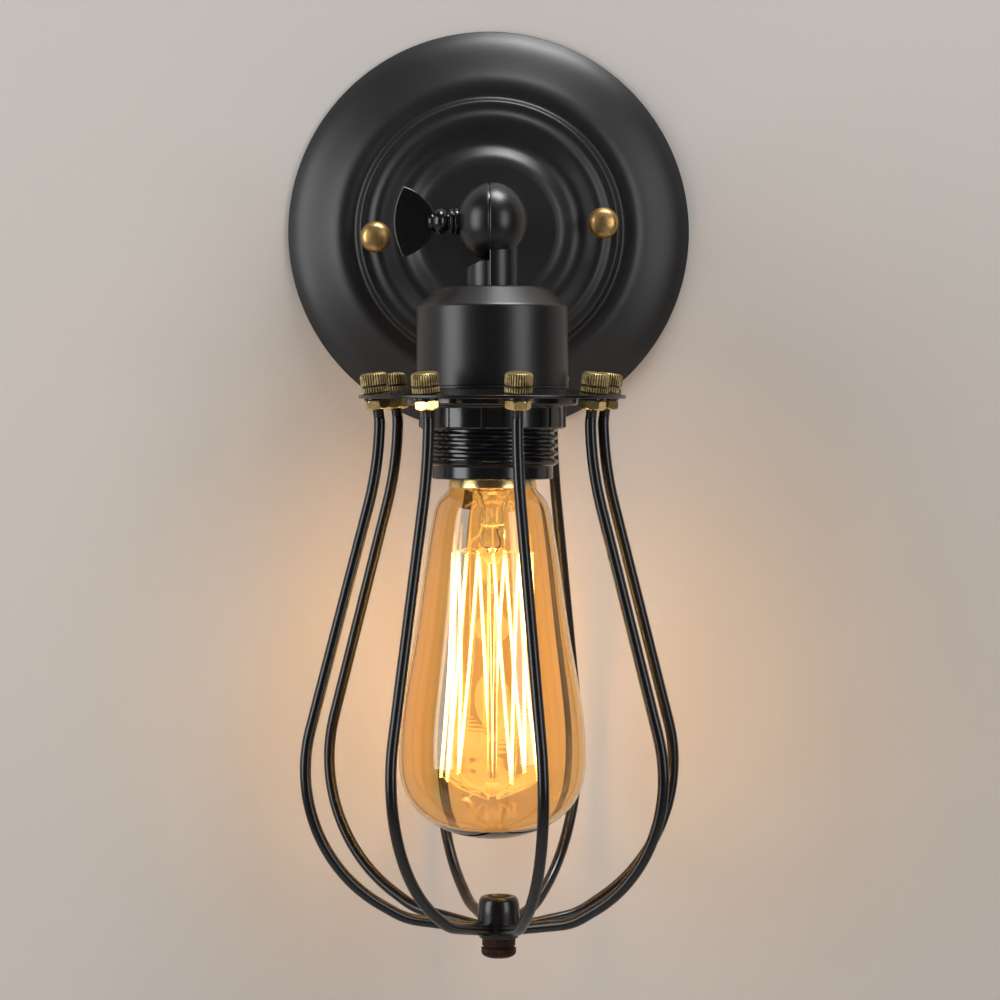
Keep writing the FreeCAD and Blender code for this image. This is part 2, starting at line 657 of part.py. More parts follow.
def knuckle_stem_half():
    """Right half with the stem, threaded for the clamp screw."""
    half = knuckle_half(1, STEM_DIAMETER, CUP_TOP, LEAD_IN_STEM)
    pole = KNUCKLE_HALF_WIDTH - KNUCKLE_WALL
    boss = Part.makeCylinder(CLAMP_BOSS_DIAMETER / 2, pole - CLAMP_BOSS_START,
                             FreeCAD.Vector(CLAMP_BOSS_START, 0, 0), RIGHT)
    shell = spheroid(KNUCKLE_RADIUS - 1.0, KNUCKLE_HALF_WIDTH - 1.0)
    half = half.fuse(boss.common(shell)).removeSplitter()
    thread = Part.makeCylinder(CLAMP_SCREW_DIAMETER / 2 + THREAD_GAP, pole,
                               FreeCAD.Vector(0, 0, 0), RIGHT)
    return in_head(half.cut(thread))


def friction_washer():
    """Thin washer between the two halves' rims."""
    outer = KNUCKLE_RADIUS - 0.4
    inner = KNUCKLE_RADIUS - KNUCKLE_WALL + 0.2
    disc = Part.makeCylinder(outer, FRICTION_WASHER_THICKNESS, ORIGIN, RIGHT)
    disc = disc.cut(Part.makeCylinder(inner, FRICTION_WASHER_THICKNESS, ORIGIN, RIGHT))
    return in_head(moved(disc, RIGHT * (SEAM_OFFSET - FRICTION_WASHER_THICKNESS / 2)))


def wing_outline():
    """Wing plate: a waist at the bead, two swept tips and a bowed outer edge."""
    bead_end = collar_face() - CLAMP_COLLAR_LENGTH - CLAMP_BEAD_LENGTH
    outer = bead_end - WING_REACH
    waist_x = bead_end + 1.5
    half_waist = WING_WAIST / 2
    half_height = WING_HEIGHT / 2
    tip_x = outer + WING_TIP_INSET
    flank_x = bead_end - 2.2
    waist_top = FreeCAD.Vector(waist_x, 0, half_waist)
    waist_bottom = FreeCAD.Vector(waist_x, 0, -half_waist)
    tip_top = FreeCAD.Vector(tip_x, 0, half_height)
    tip_bottom = FreeCAD.Vector(tip_x, 0, -half_height)
    flank_top = FreeCAD.Vector(flank_x, 0, half_height * 0.66)
    flank_bottom = FreeCAD.Vector(flank_x, 0, -half_height * 0.66)
    return Part.Wire([
        Part.Arc(waist_top, flank_top, tip_top).toShape(),
        Part.Arc(tip_top, FreeCAD.Vector(outer, 0, 0), tip_bottom).toShape(),
        Part.Arc(tip_bottom, flank_bottom, waist_bottom).toShape(),
        Part.LineSegment(waist_bottom, waist_top).toShape(),
    ])


def wing_screw():
    """Clamp screw with a collar, a turned bead and a flat wing."""
    face = collar_face()
    collar = CLAMP_COLLAR_DIAMETER / 2
    bead = CLAMP_BEAD_DIAMETER / 2
    neck = bead * 0.72
    bead_start = face - CLAMP_COLLAR_LENGTH
    bead_end = bead_start - CLAMP_BEAD_LENGTH
    chamfer = 0.5
    outline = [
        (0, -face + SEAT_GAP),
        (collar - chamfer, -face + SEAT_GAP),
        (collar, -face + SEAT_GAP + chamfer),
        (collar, -bead_start - chamfer - 0.6),
        (neck, -bead_start - 0.3),
        (neck, -bead_start + 0.3),
    ]
    middle = -(bead_start + bead_end) / 2
    edges = [line(outline[index], outline[index + 1]) for index in range(len(outline) - 1)]
    bead_arc = [(neck, -bead_start + 0.3), (bead * 0.96, -bead_start + 1.6), (bead, middle),
                (bead * 0.94, -bead_end - 1.2), (neck, -bead_end)]
    edges.append(curve(bead_arc))
    edges.append(line((neck, -bead_end), (0, -bead_end)))
    edges.append(line((0, -bead_end), (0, -face + SEAT_GAP)))
    head = rotated(turned_edges(edges), FreeCAD.Vector(0, 1, 0), -90)
    plate = Part.Face(wing_outline()).extrude(FreeCAD.Vector(0, WING_THICKNESS, 0))
    plate = moved(plate, FreeCAD.Vector(0, -WING_THICKNESS / 2, 0))
    shank_end = KNUCKLE_HALF_WIDTH - KNUCKLE_WALL - 0.6
    shank = Part.makeCylinder(CLAMP_SCREW_DIAMETER / 2, shank_end - face,
                              FreeCAD.Vector(face, 0, 0), RIGHT)
    shank = moved(shank, FreeCAD.Vector(-SEAT_GAP, 0, 0))
    return in_head(fused([head, plate, shank]))


# ---------------------------------------------------------------- socket cup
def lamp_nipple():
    """Hollow threaded rod that joins the stem, the cup and the lampholder."""
    top = -KNUCKLE_RADIUS - PIPE_STOP_MARGIN
    bottom = HOLDER_CAP_TOP - HOLDER_CAP_WALL - 1.0
    return in_head(ring(PIPE_THREAD, PIPE_BORE, bottom, top - bottom))


def socket_cup():
    """Round metal cup with a conical shoulder over the lampholder."""
    outer = CUP_DIAMETER / 2
    wall = CUP_WALL
    top = -CUP_TOP
    outline = [(0, top), (outer - CUP_SHOULDER_WIDTH, top), (outer, top - CUP_SHOULDER_HEIGHT),
               (outer, PLATE_TOP)]
    lower = wall * math.tan(math.atan2(CUP_SHOULDER_HEIGHT, CUP_SHOULDER_WIDTH) / 2)
    narrower = wall * math.tan(math.atan2(CUP_SHOULDER_WIDTH, CUP_SHOULDER_HEIGHT) / 2)
    inside = [(0, top - wall), (outer - CUP_SHOULDER_WIDTH - lower, top - wall),
              (outer - wall, top - CUP_SHOULDER_HEIGHT - narrower), (outer - wall, PLATE_TOP)]
    edges = rounded_outline(outline, [CUP_TOP_BEND, CUP_SIDE_BEND])
    edges += rounded_outline(inside, [CUP_TOP_BEND - wall, CUP_SIDE_BEND - wall])
    edges.append(line(outline[-1], inside[-1]))
    edges.append(line(outline[0], inside[0]))
    hole = cylinder(PIPE_THREAD + 2 * HOLE_GAP, top - 2 * wall, 3 * wall)
    return in_head(turned_edges(edges).cut(hole))


def cup_lock_nut():
    """Hexagon nut inside the cup."""
    start = PIPE_NUT_TOP - PIPE_NUT_HEIGHT - SEAT_GAP
    return in_head(hexagon(PIPE_NUT_ACROSS, PIPE_THREAD + 2 * THREAD_GAP, start, PIPE_NUT_HEIGHT))


# ---------------------------------------------------------------- lampholder
def lampholder_cap():
    """Moulded cap that screws on the hollow rod and covers the terminals."""
    outer = HOLDER_CAP_DIAMETER / 2
    inner = outer - HOLDER_CAP_WALL
    top = HOLDER_CAP_TOP
    slope = 4.0
    outline = [
        (0, top), (outer - slope, top), (outer, top - slope), (outer, INSERT_TOP),
        (inner, INSERT_TOP), (inner, top - slope - 1.0), (inner - slope + 1.0, top - HOLDER_CAP_WALL),
        (0, top - HOLDER_CAP_WALL),
    ]
    thread = cylinder(PIPE_THREAD + 2 * THREAD_GAP, top - 2 * HOLDER_CAP_WALL, 3 * HOLDER_CAP_WALL)
    return in_head(turned(outline).cut(thread))


def lampholder_skirt():
    """Outer shell with the coarse thread for the retaining ring."""
    crest = HOLDER_THREAD_DIAMETER / 2
    root = crest - HOLDER_THREAD_DEPTH
    bore = HOLDER_BORE / 2
    thread_end = HOLDER_BOTTOM + HOLDER_LIP
    lip = HOLDER_LIP_DIAMETER / 2
    outline = [(bore, HOLDER_BOTTOM), (lip - 0.6, HOLDER_BOTTOM), (lip, HOLDER_BOTTOM + 0.6),
               (lip, thread_end)]
    level = thread_end
    while level + HOLDER_THREAD_PITCH < INSERT_TOP - 0.6:
        outline.append((root, level + 0.2))
        outline.append((crest, level + 0.9))
        outline.append((crest, level + 1.4))
        outline.append((root, level + 2.1))
        level += HOLDER_THREAD_PITCH
    outline.append((root, level + 0.2))
    outline.append((crest, level + 0.9))
    outline.append((crest, INSERT_TOP - SEAT_GAP))
    outline.append((INSERT_DIAMETER / 2 + HOLE_GAP, INSERT_TOP - SEAT_GAP))
    outline.append((INSERT_DIAMETER / 2 + HOLE_GAP, INSERT_BOTTOM - SEAT_GAP))
    outline.append((bore, INSERT_BOTTOM - SEAT_GAP))
    return in_head(turned(outline))


def lampholder_insert():
    """Insulating core that carries the contacts."""
    core = cylinder(INSERT_DIAMETER, INSERT_BOTTOM, INSERT_HEIGHT)
    recess = cylinder(CONTACT_RECESS_DIAMETER, INSERT_BOTTOM - 1, 1 + CONTACT_RECESS_DEPTH)
    core = core.cut(recess)
    for side in (-1, 1):
        x = side * TERMINAL_SPACING / 2
        thread = cylinder(TERMINAL_SCREW_DIAMETER + 2 * THREAD_GAP, INSERT_TOP - 4.0, 5, x)
        core = core.cut(thread)
    return in_head(core)


def screw_shell():
    """Metal shell that takes the lamp's cap."""
    outer = SHELL_BORE + 2 * SHELL_WALL
    tube = ring(outer, SHELL_BORE, INSERT_BOTTOM - SHELL_LENGTH - SEAT_GAP, SHELL_LENGTH)
    return in_head(tube)


def centre_contact():
    """Bent strip that presses on the lamp's centre contact."""
    half = CONTACT_WIDTH / 2
    ceiling = INSERT_BOTTOM + CONTACT_RECESS_DEPTH
    length = CONTACT_RECESS_DIAMETER / 2 - 1.5
    touch = BULB_TIP + SEAT_GAP
    strip = [(-length, ceiling), (-length, ceiling - CONTACT_THICKNESS),
             (-length * 0.45, ceiling - CONTACT_THICKNESS), (0, touch),
             (length * 0.3, touch), (length * 0.5, touch + 0.8),
             (length * 0.5, touch + 0.8 + CONTACT_THICKNESS), (length * 0.3, touch + CONTACT_THICKNESS),
             (0, touch + CONTACT_THICKNESS), (-length * 0.45, ceiling)]
    points = [FreeCAD.Vector(x, -half, height) for x, height in strip]
    points.append(points[0])
    tongue = Part.Face(Part.makePolygon(points)).extrude(FreeCAD.Vector(0, CONTACT_WIDTH, 0))
    return in_head(moved(tongue, FreeCAD.Vector(0, 0, -SEAT_GAP)))


def holder_terminal_screws():
    """Two screws on top of the insulating core that hold the lead ends."""
    screws = []
    for side in (-1, 1):
        x = side * TERMINAL_SPACING / 2
        head = cylinder(TERMINAL_HEAD_DIAMETER, INSERT_TOP + SEAT_GAP, 2.0, x)
        shank = cylinder(TERMINAL_SCREW_DIAMETER, INSERT_TOP - 3.6, 4.0, x)
        slot = box((x - 4, x + 4), (-0.4, 0.4), (INSERT_TOP + 1.3, INSERT_TOP + 4))
        screws.append(head.fuse(shank).removeSplitter().cut(slot))
    return in_head(Part.makeCompound(screws))


def retaining_ring():
    """Ribbed ring with a flange that clamps the cage's plate against the cup."""
    flange = RETAINER_FLANGE_DIAMETER / 2
    body = RETAINER_BODY_DIAMETER / 2
    top = PLATE_BOTTOM - SEAT_GAP
    flange_bottom = top - RETAINER_FLANGE_HEIGHT
    bottom = flange_bottom - RETAINER_BODY_HEIGHT
    outline = [(0, top), (flange - 0.4, top), (flange, top - 0.4), (flange, flange_bottom + 0.4),
               (flange - 0.4, flange_bottom), (body, flange_bottom), (body, bottom + 0.5),
               (body - 0.5, bottom), (0, bottom)]
    nut = turned(outline).cut(cylinder(HOLDER_THREAD_DIAMETER + 2 * THREAD_GAP, bottom - 1, 20))
    height = flange_bottom + 0.5 - bottom
    bar = box((-RETAINER_RIB_WIDTH / 2, RETAINER_RIB_WIDTH / 2), (-body - RETAINER_RIB_HEIGHT, 1 - body),
              (bottom, bottom + height))
    ribs = [rotated(bar, UP, RETAINER_RIB_TURN + 360 * index / RETAINER_RIBS)
            for index in range(RETAINER_RIBS)]
    return in_head(fused([nut] + ribs))


# ---------------------------------------------------------------- cage
def wire_angle(index):
    """Direction of one wire, from the viewer's side towards the right."""
    return WIRE_TURN + 360 * index / WIRE_COUNT


def drop_place(index):
    """Point under the plate that one wire's upright part passes."""
    return radial(DROP_CIRCLE_DIAMETER / 2, wire_angle(index), 0)


def on_plate(shape, index):
    """Put a piece that stands on the XY plane on top of the plate, square to it, at one wire's hole."""
    reach = WIRE_CIRCLE_DIAMETER / 2
    fall = (reach - PLATE_FLAT_DIAMETER / 2) * math.tan(math.radians(PLATE_SLOPE))
    leaning = moved(rotated(shape, RIGHT, PLATE_SLOPE), FreeCAD.Vector(0, -reach, PLATE_TOP - fall))
    return rotated(leaning, UP, wire_angle(index))


def at_wires(shape):
    """Copies of a piece on the plate at every wire's hole."""
    return in_head(Part.makeCompound([on_plate(shape, index) for index in range(WIRE_COUNT)]))


def wire_point(index, height):
    """Point on the axis of one wire's hole, at a height above the plate's surface."""
    return on_plate(Part.Vertex(0, 0, height), index).Point


def bow_place(index):
    """Point of the upright parts' circle that one wire's bow passes under."""
    return radial(DROP_CIRCLE_DIAMETER / 2, wire_angle(index) + CAGE_TWIST, 0)


def bow_direction(index):
    """Direction from the hub's middle in which one wire's bow stands out."""
    return (bow_place(index) - FreeCAD.Vector(HUB_OFFSET, 0, 0)).normalize()


def floor_direction(index):
    """Direction of one wire's lowest run, from the hub outwards and up."""
    return bow_direction(index) + UP * math.tan(math.radians(FLOOR_SLOPE))


def cage_plate():
    """Round plate with a flat middle and a rim that falls outwards, with a hole for every wire."""
    bore = HOLDER_THREAD_DIAMETER / 2 + HOLE_GAP
    flat = PLATE_FLAT_DIAMETER / 2
    outer = PLATE_DIAMETER / 2
    fall = (outer - flat) * math.tan(math.radians(PLATE_SLOPE))
    bend = PLATE_THICKNESS * math.tan(math.radians(PLATE_SLOPE) / 2)
    lean = PLATE_THICKNESS * math.sin(math.radians(PLATE_SLOPE))
    drop = PLATE_THICKNESS * math.cos(math.radians(PLATE_SLOPE))
    outline = [(bore, PLATE_TOP), (flat, PLATE_TOP), (outer, PLATE_TOP - fall),
               (outer - lean, PLATE_TOP - fall - drop), (flat - bend, PLATE_BOTTOM), (bore, PLATE_BOTTOM)]
    plate = turned(outline)
    hole = cylinder(WIRE_DIAMETER + 2 * HOLE_GAP, -3, 6)
    holes = Part.makeCompound([on_plate(hole, index) for index in range(WIRE_COUNT)])
    return in_head(plate.cut(holes))


def cage_wire(index):
    """One bent wire from its threaded upper end to its socket in the hub."""
    upright = drop_place(index)
    bow = bow_place(index)
    outward = bow_direction(index)
    hub = FreeCAD.Vector(HUB_OFFSET, 0, FLOOR_LEVEL)
    run = floor_direction(index)
    reach = (bow - FreeCAD.Vector(HUB_OFFSET, 0, 0)).Length - FLOOR_IN
    socket = HUB_DIAMETER / 2 - HUB_SOCKET_DEPTH + SEAT_GAP
    points = [
        wire_point(index, WIRE_TOP),
        wire_point(index, -DROP_START),
        upright + UP * (PLATE_TOP - SLANT_START),
        bow + outward * BELLY_OUT + UP * (PLATE_TOP - BELLY_DROP),
        hub + run * reach,
        hub + run * socket,
    ]
    path = rounded_path(points, [DROP_BEND, SLANT_BEND, BELLY_BEND, FLOOR_BEND])
    return in_head(round_bar(path, WIRE_DIAMETER))


def wire_washers():
    """Eight flat washers under the plate."""
    start = -PLATE_THICKNESS - WIRE_WASHER_THICKNESS
    return at_wires(ring(WIRE_WASHER_DIAMETER, WIRE_DIAMETER + 2 * THREAD_GAP, start,
                         WIRE_WASHER_THICKNESS - SEAT_GAP))


def wire_nuts():
    """Eight hexagon nuts under the washers."""
    start = -PLATE_THICKNESS - WIRE_WASHER_THICKNESS - SMALL_NUT_HEIGHT - SEAT_GAP
    return at_wires(hexagon(SMALL_NUT_ACROSS, WIRE_DIAMETER + 2 * THREAD_GAP, start, SMALL_NUT_HEIGHT))


def knurled_nuts():
    """Eight closed round thumb nuts on top of the plate."""
    rim = KNURLED_NUT_DIAMETER / 2
    base = SEAT_GAP
    band = base + KNURLED_NUT_BAND
    groove = band + KNURLED_NUT_GROOVE
    top = base + KNURLED_NUT_HEIGHT
    outline = [(0, base), (rim - 0.3, base), (rim, base + 0.3), (rim, band), (rim - 0.7, band + 0.1),
               (rim - 0.7, groove - 0.1), (rim, groove), (rim, top - 1.0), (rim - 0.5, top - 0.3),
               (rim - 1.2, top), (0, top)]
    bore = cylinder(WIRE_DIAMETER + 2 * THREAD_GAP, base - 1, KNURLED_NUT_THREAD_DEPTH + 1)
    return at_wires(turned(outline).cut(bore))


def hub():
    """Round hub that gathers the lower ends of the wires."""
    top = FLOOR_LEVEL + HUB_ABOVE_WIRES
    bottom = FLOOR_LEVEL - HUB_BELOW_WIRES
    outer = HUB_DIAMETER / 2
    outline = [(0, bottom), (outer, bottom), (outer, top - 1.2), (outer - 0.35, top - 0.35),
               (outer - 1.2, top), (0, top)]
    body = turned(outline).cut(cylinder(HUB_BORE, bottom - 1, top - bottom + 2))
    centre = FreeCAD.Vector(HUB_OFFSET, 0, 0)
    sockets = []
    for index in range(WIRE_COUNT):
        run = floor_direction(index)
        start = run * (outer - HUB_SOCKET_DEPTH) + UP * FLOOR_LEVEL
        sockets.append(Part.makeCylinder(WIRE_RADIUS + THREAD_GAP, outer, start, run))
    body = body.cut(Part.makeCompound(sockets))
    return in_head(moved(body, centre))


def hub_screw():
    """Knurled screw from below, with a groove around its head."""
    top = FLOOR_LEVEL - HUB_BELOW_WIRES - SEAT_GAP
    bottom = top - HUB_SCREW_HEAD_HEIGHT
    rim = HUB_SCREW_HEAD_DIAMETER / 2
    middle = top - HUB_SCREW_HEAD_HEIGHT * 0.55
    half = HUB_SCREW_GROOVE / 2
    shank = (HUB_BORE - 2 * THREAD_GAP) / 2
    outline = [(0, bottom), (rim - 1.8, bottom + 0.2), (rim - 0.5, bottom + 0.9), (rim, bottom + 1.6),
               (rim, middle - half),
               (rim - 0.7, middle - half + 0.1), (rim - 0.7, middle + half - 0.1), (rim, middle + half),
               (rim, top - 0.3), (rim - 0.3, top), (shank, top), (shank, top + HUB_SCREW_SHANK),
               (0, top + HUB_SCREW_SHANK)]
    return in_head(moved(turned(outline), FreeCAD.Vector(HUB_OFFSET, 0, 0)))


# ---------------------------------------------------------------- lamp
def bulb_contact():
    """Solder button in the middle of the lamp's cap."""
    rim = BULB_CONTACT_DIAMETER / 2
    low = BULB_TIP - BULB_CONTACT_HEIGHT
    outline = [(0, low), (rim, low), (rim * 0.8, BULB_TIP - 0.4), (rim * 0.5, BULB_TIP), (0, BULB_TIP)]
    return in_head(turned(outline))


def bulb_insulator():
    """Glass disc between the contact button and the threaded shell."""
    top = BULB_TIP - BULB_CONTACT_HEIGHT
    bottom = top - BULB_INSULATOR_HEIGHT
    neck = BULB_CONTACT_DIAMETER / 2 + 1.0
    wide = BULB_CAP_ROOT_DIAMETER / 2 - BULB_CAP_SHEET - SEAT_GAP
    outline = [(0, bottom), (wide, bottom), (wide, bottom + 1.0), (neck, top), (0, top)]
    return in_head(turned(outline))


def bulb_cap():
    """Threaded metal shell of the lamp."""
    top = BULB_TIP - BULB_CONTACT_HEIGHT - BULB_INSULATOR_HEIGHT + 1.0
    crest = BULB_CAP_DIAMETER / 2
    root = BULB_CAP_ROOT_DIAMETER / 2
    rim = BULB_CAP_RIM_DIAMETER / 2
    rim_top = BULB_RIM + BULB_CAP_RIM_LENGTH
    outside = [(root, top)]
    level = top - BULB_CAP_PITCH / 2
    while level - BULB_CAP_PITCH / 2 > rim_top + 1.0:
        outside.append((crest, level))
        outside.append((root, level - BULB_CAP_PITCH / 2))
        level -= BULB_CAP_PITCH
    outside.append((crest, rim_top + 0.4))
    outside.append((rim - 0.3, BULB_RIM + 1.6))
    outside.append((rim, BULB_RIM))
    inside = [(radius - BULB_CAP_SHEET, height) for radius, height in reversed(outside)]
    return in_head(turned(outside + inside))


def glass_outline():
    """Outside of the glass from the neck inside the cap to the lower end."""
    neck = BULB_NECK_DIAMETER / 2
    shoulder = BULB_SHOULDER_DIAMETER / 2
    belly = BULB_DIAMETER / 2
    bottom = BULB_END
    belly_level = bottom + BULB_BELLY_RISE
    shoulder_level = BULB_RIM - BULB_SHOULDER_DROP
    cone = (belly - shoulder) / (shoulder_level - belly_level)
    middle = (shoulder_level + belly_level) / 2
    drop = belly_level - bottom
    return [
        (neck, BULB_RIM + 3.0),
        (neck + 0.3, BULB_RIM + 0.4),
        (neck + (shoulder - neck) * 0.62, BULB_RIM - BULB_SHOULDER_DROP * 0.38),
        (shoulder, shoulder_level),
        (shoulder + cone * (shoulder_level - middle) + 0.4, middle),
        (belly - 0.5, belly_level + 10.0),
        (belly, belly_level),
        (belly * 0.955, belly_level - drop * 0.38),
        (belly * 0.80, belly_level - drop * 0.66),
        (belly * 0.53, belly_level - drop * 0.865),
        (belly * 0.24, bottom + drop * 0.035),
        (0, bottom),
    ]


def bulb_glass():
    """Thin bottle-shaped envelope, closed at its lower end and open inside the cap."""
    outside = glass_outline()
    inside = inset(outside[:-1], BULB_GLASS_WALL)
    inside.append((0, outside[-1][1] + BULB_GLASS_WALL))
    edges = [
        curve(outside),
        line(outside[-1], inside[-1]),
        curve(inside),
        line(inside[0], outside[0]),
    ]
    return in_head(turned_edges(edges))


def glass_mount():
    """Flared glass tube, flat pinch and glass rod with a button at each set of supports."""
    tube = MOUNT_TUBE_DIAMETER / 2
    flare = BULB_NECK_DIAMETER / 2 - BULB_GLASS_WALL - 0.3
    flare_level = BULB_RIM + 1.4
    pinch = BULB_RIM - MOUNT_PINCH_DROP
    rod = MOUNT_ROD_DIAMETER / 2
    wall = 0.8
    outline = [(flare, flare_level), (flare - 0.2, flare_level - 0.8), (tube + 2.2, flare_level - 3.6),
               (tube, flare_level - 8.0), (tube, pinch + 5.0), (tube * 0.5, pinch), (0, pinch),
               (0, pinch + 6.0), (tube - wall, pinch + 7.0), (tube - wall, flare_level - 8.0),
               (tube + 2.2 - wall, flare_level - 3.0), (flare - 1.2, flare_level)]
    bottom = FILAMENT_BOTTOM - 4.0
    rod_bar = cylinder(2 * rod, bottom, pinch + 5.5 - bottom)
    return in_head(fused([turned(outline), rod_bar]))


def hook(index, at_top):
    """Place of one filament hook, at the top or at the bottom."""
    step = 360 / FILAMENT_HOOKS
    if at_top:
        return radial(FILAMENT_TOP_RADIUS, step * index, BULB_RIM - FILAMENT_TOP_DROP)
    return radial(FILAMENT_BOTTOM_RADIUS, step * (index + 0.5), FILAMENT_BOTTOM)


def filament():
    """One wire that runs up and down between the hooks."""
    corners = []
    for index in range(FILAMENT_HOOKS):
        corners.append(hook(index, True))
        if index < FILAMENT_HOOKS - 1:
            corners.append(hook(index, False))
    radius = FILAMENT_WIRE / 2
    pieces = [straight_bar(corners[k], corners[k + 1], FILAMENT_WIRE) for k in range(len(corners) - 1)]
    pieces += [Part.makeSphere(radius, corner) for corner in corners]
    return in_head(fused(pieces))


def support_star(hooks, at_top, level):
    """Glass button on the rod with one thin wire out to each hook."""
    rod = MOUNT_ROD_DIAMETER / 2
    centre = FreeCAD.Vector(0, 0, level)
    button = Part.makeSphere(rod + SUPPORT_BUTTON, centre)
    pieces = [button.cut(cylinder(2 * (rod + SEAT_GAP), level - 5, 10))]
    for index in hooks:
        tip = hook(index, at_top)
        along = (tip - centre).normalize()
        clear = FILAMENT_WIRE / 2 + HOOK_GAP
        pieces.append(straight_bar(centre + along * (rod + SUPPORT_BUTTON / 2), tip - along * clear,
                                   SUPPORT_WIRE))
    return in_head(fused(pieces))


def upper_supports():
    """Thin wires that hold the filament's upper bends, below the glass pinch."""
    return support_star(range(1, FILAMENT_HOOKS - 1), True, BULB_RIM - MOUNT_PINCH_DROP - 3.0)


def lower_supports():
    """Thin wires that hold the filament's lower bends."""
    return support_star(range(FILAMENT_HOOKS - 1), False, FILAMENT_BOTTOM - 3.0)


def filament_leads():
    """Two stiff wires from the pinch to the filament's ends."""
    wires = []
    for index in (0, FILAMENT_HOOKS - 1):
        tip = hook(index, True)
        start = radial(MOUNT_TUBE_DIAMETER / 2 + LEAD_IN_WIRE / 2 + 0.1, 360 / FILAMENT_HOOKS * index,
                       BULB_RIM - MOUNT_PINCH_DROP + 8.0)
        along = (tip - start).normalize()
        gap = (FILAMENT_WIRE + LEAD_IN_WIRE) / 2 + SEAT_GAP
        bar = straight_bar(start, tip - along * gap, LEAD_IN_WIRE)
        wires.append(bar)
    return in_head(Part.makeCompound(wires))


# ---------------------------------------------------------------- wiring
def terminal_block():
    """Two-pole block screwed to the bracket."""
    half_width = BLOCK_WIDTH / 2
    half_length = BLOCK_LENGTH / 2
    base = BRACKET_SHEET
    block = box((-half_width, half_width), (-half_length, half_length), (base, base + BLOCK_HEIGHT))
    level = BLOCK_TUBE_LEVEL
    for side in (-1, 1):
        y = side * BLOCK_POLE_SPACING / 2
        way = Part.makeCylinder(BLOCK_TUBE_DIAMETER / 2 + THREAD_GAP, BLOCK_WIDTH + 2,
                                FreeCAD.Vector(-half_width - 1, y, level), RIGHT)
        block = block.cut(way)
        for end in (-1, 1):
            x = end * BLOCK_WIDTH / 4
            block = block.cut(cylinder(BLOCK_SCREW_DIAMETER + 0.4, level, BLOCK_HEIGHT, x, y))
    block = block.cut(cylinder(BLOCK_FIXING_DIAMETER + 0.4, 0, 2 * BLOCK_HEIGHT))
    return on_block(block)


def on_block(shape):
    """Place a piece drawn about the terminal block's middle."""
    return on_wall(on_studs(moved(shape, RIGHT * BLOCK_OFFSET)))


def block_tubes():
    """Two brass tubes inside the block."""
    level = BLOCK_TUBE_LEVEL
    tubes = []
    for side in (-1, 1):
        y = side * BLOCK_POLE_SPACING / 2
        start = FreeCAD.Vector(-BLOCK_WIDTH / 2 + 1.0, y, level)
        tube = Part.makeCylinder(BLOCK_TUBE_DIAMETER / 2, BLOCK_WIDTH - 2.0, start, RIGHT)
        bore = Part.makeCylinder(LEAD_DIAMETER / 2 + THREAD_GAP, BLOCK_WIDTH, start, RIGHT)
        tube = tube.cut(bore)
        for end in (-1, 1):
            x = end * BLOCK_WIDTH / 4
            hole = cylinder(BLOCK_SCREW_DIAMETER + 2 * THREAD_GAP, level, BLOCK_HEIGHT, x, y)
            tube = tube.cut(hole)
        tubes.append(tube)
    return on_block(Part.makeCompound(tubes))


def block_screws():
    """Four grub screws that clamp the leads in the tubes."""
    level = BLOCK_TUBE_LEVEL
    start = level + LEAD_DIAMETER / 2 + SEAT_GAP
    screws = []
    for side in (-1, 1):
        for end in (-1, 1):
            x = end * BLOCK_WIDTH / 4
            y = side * BLOCK_POLE_SPACING / 2
            screw = cylinder(BLOCK_SCREW_DIAMETER, start, 2.4, x, y)
            slot = box((x - 2, x + 2), (y - 0.3, y + 0.3), (start + 1.7, start + 4))
            screws.append(screw.cut(slot))
    return on_block(Part.makeCompound(screws))


def block_fixing_screw():
    """Screw through the block's middle into the bracket."""
    top = BRACKET_SHEET + BLOCK_HEIGHT
    head = cylinder(2 * BLOCK_FIXING_DIAMETER, top + SEAT_GAP, 1.2)
    shank = cylinder(BLOCK_FIXING_DIAMETER, 0.3, top)
    slot = box((-4, 4), (-0.3, 0.3), (top + 0.8, top + 4))
    return on_block(head.fuse(shank).removeSplitter().cut(slot))


def wall_point(x, up, out):
    """Point given by its place on the wall and its distance from it."""
    return FreeCAD.Vector(x, -out, up)


def block_point(x, y, out):
    """Point given about the terminal block's middle."""
    angle = math.radians(STUD_TURN)
    along = x + BLOCK_OFFSET
    return wall_point(along * math.cos(angle) - y * math.sin(angle),
                      along * math.sin(angle) + y * math.cos(angle), out)


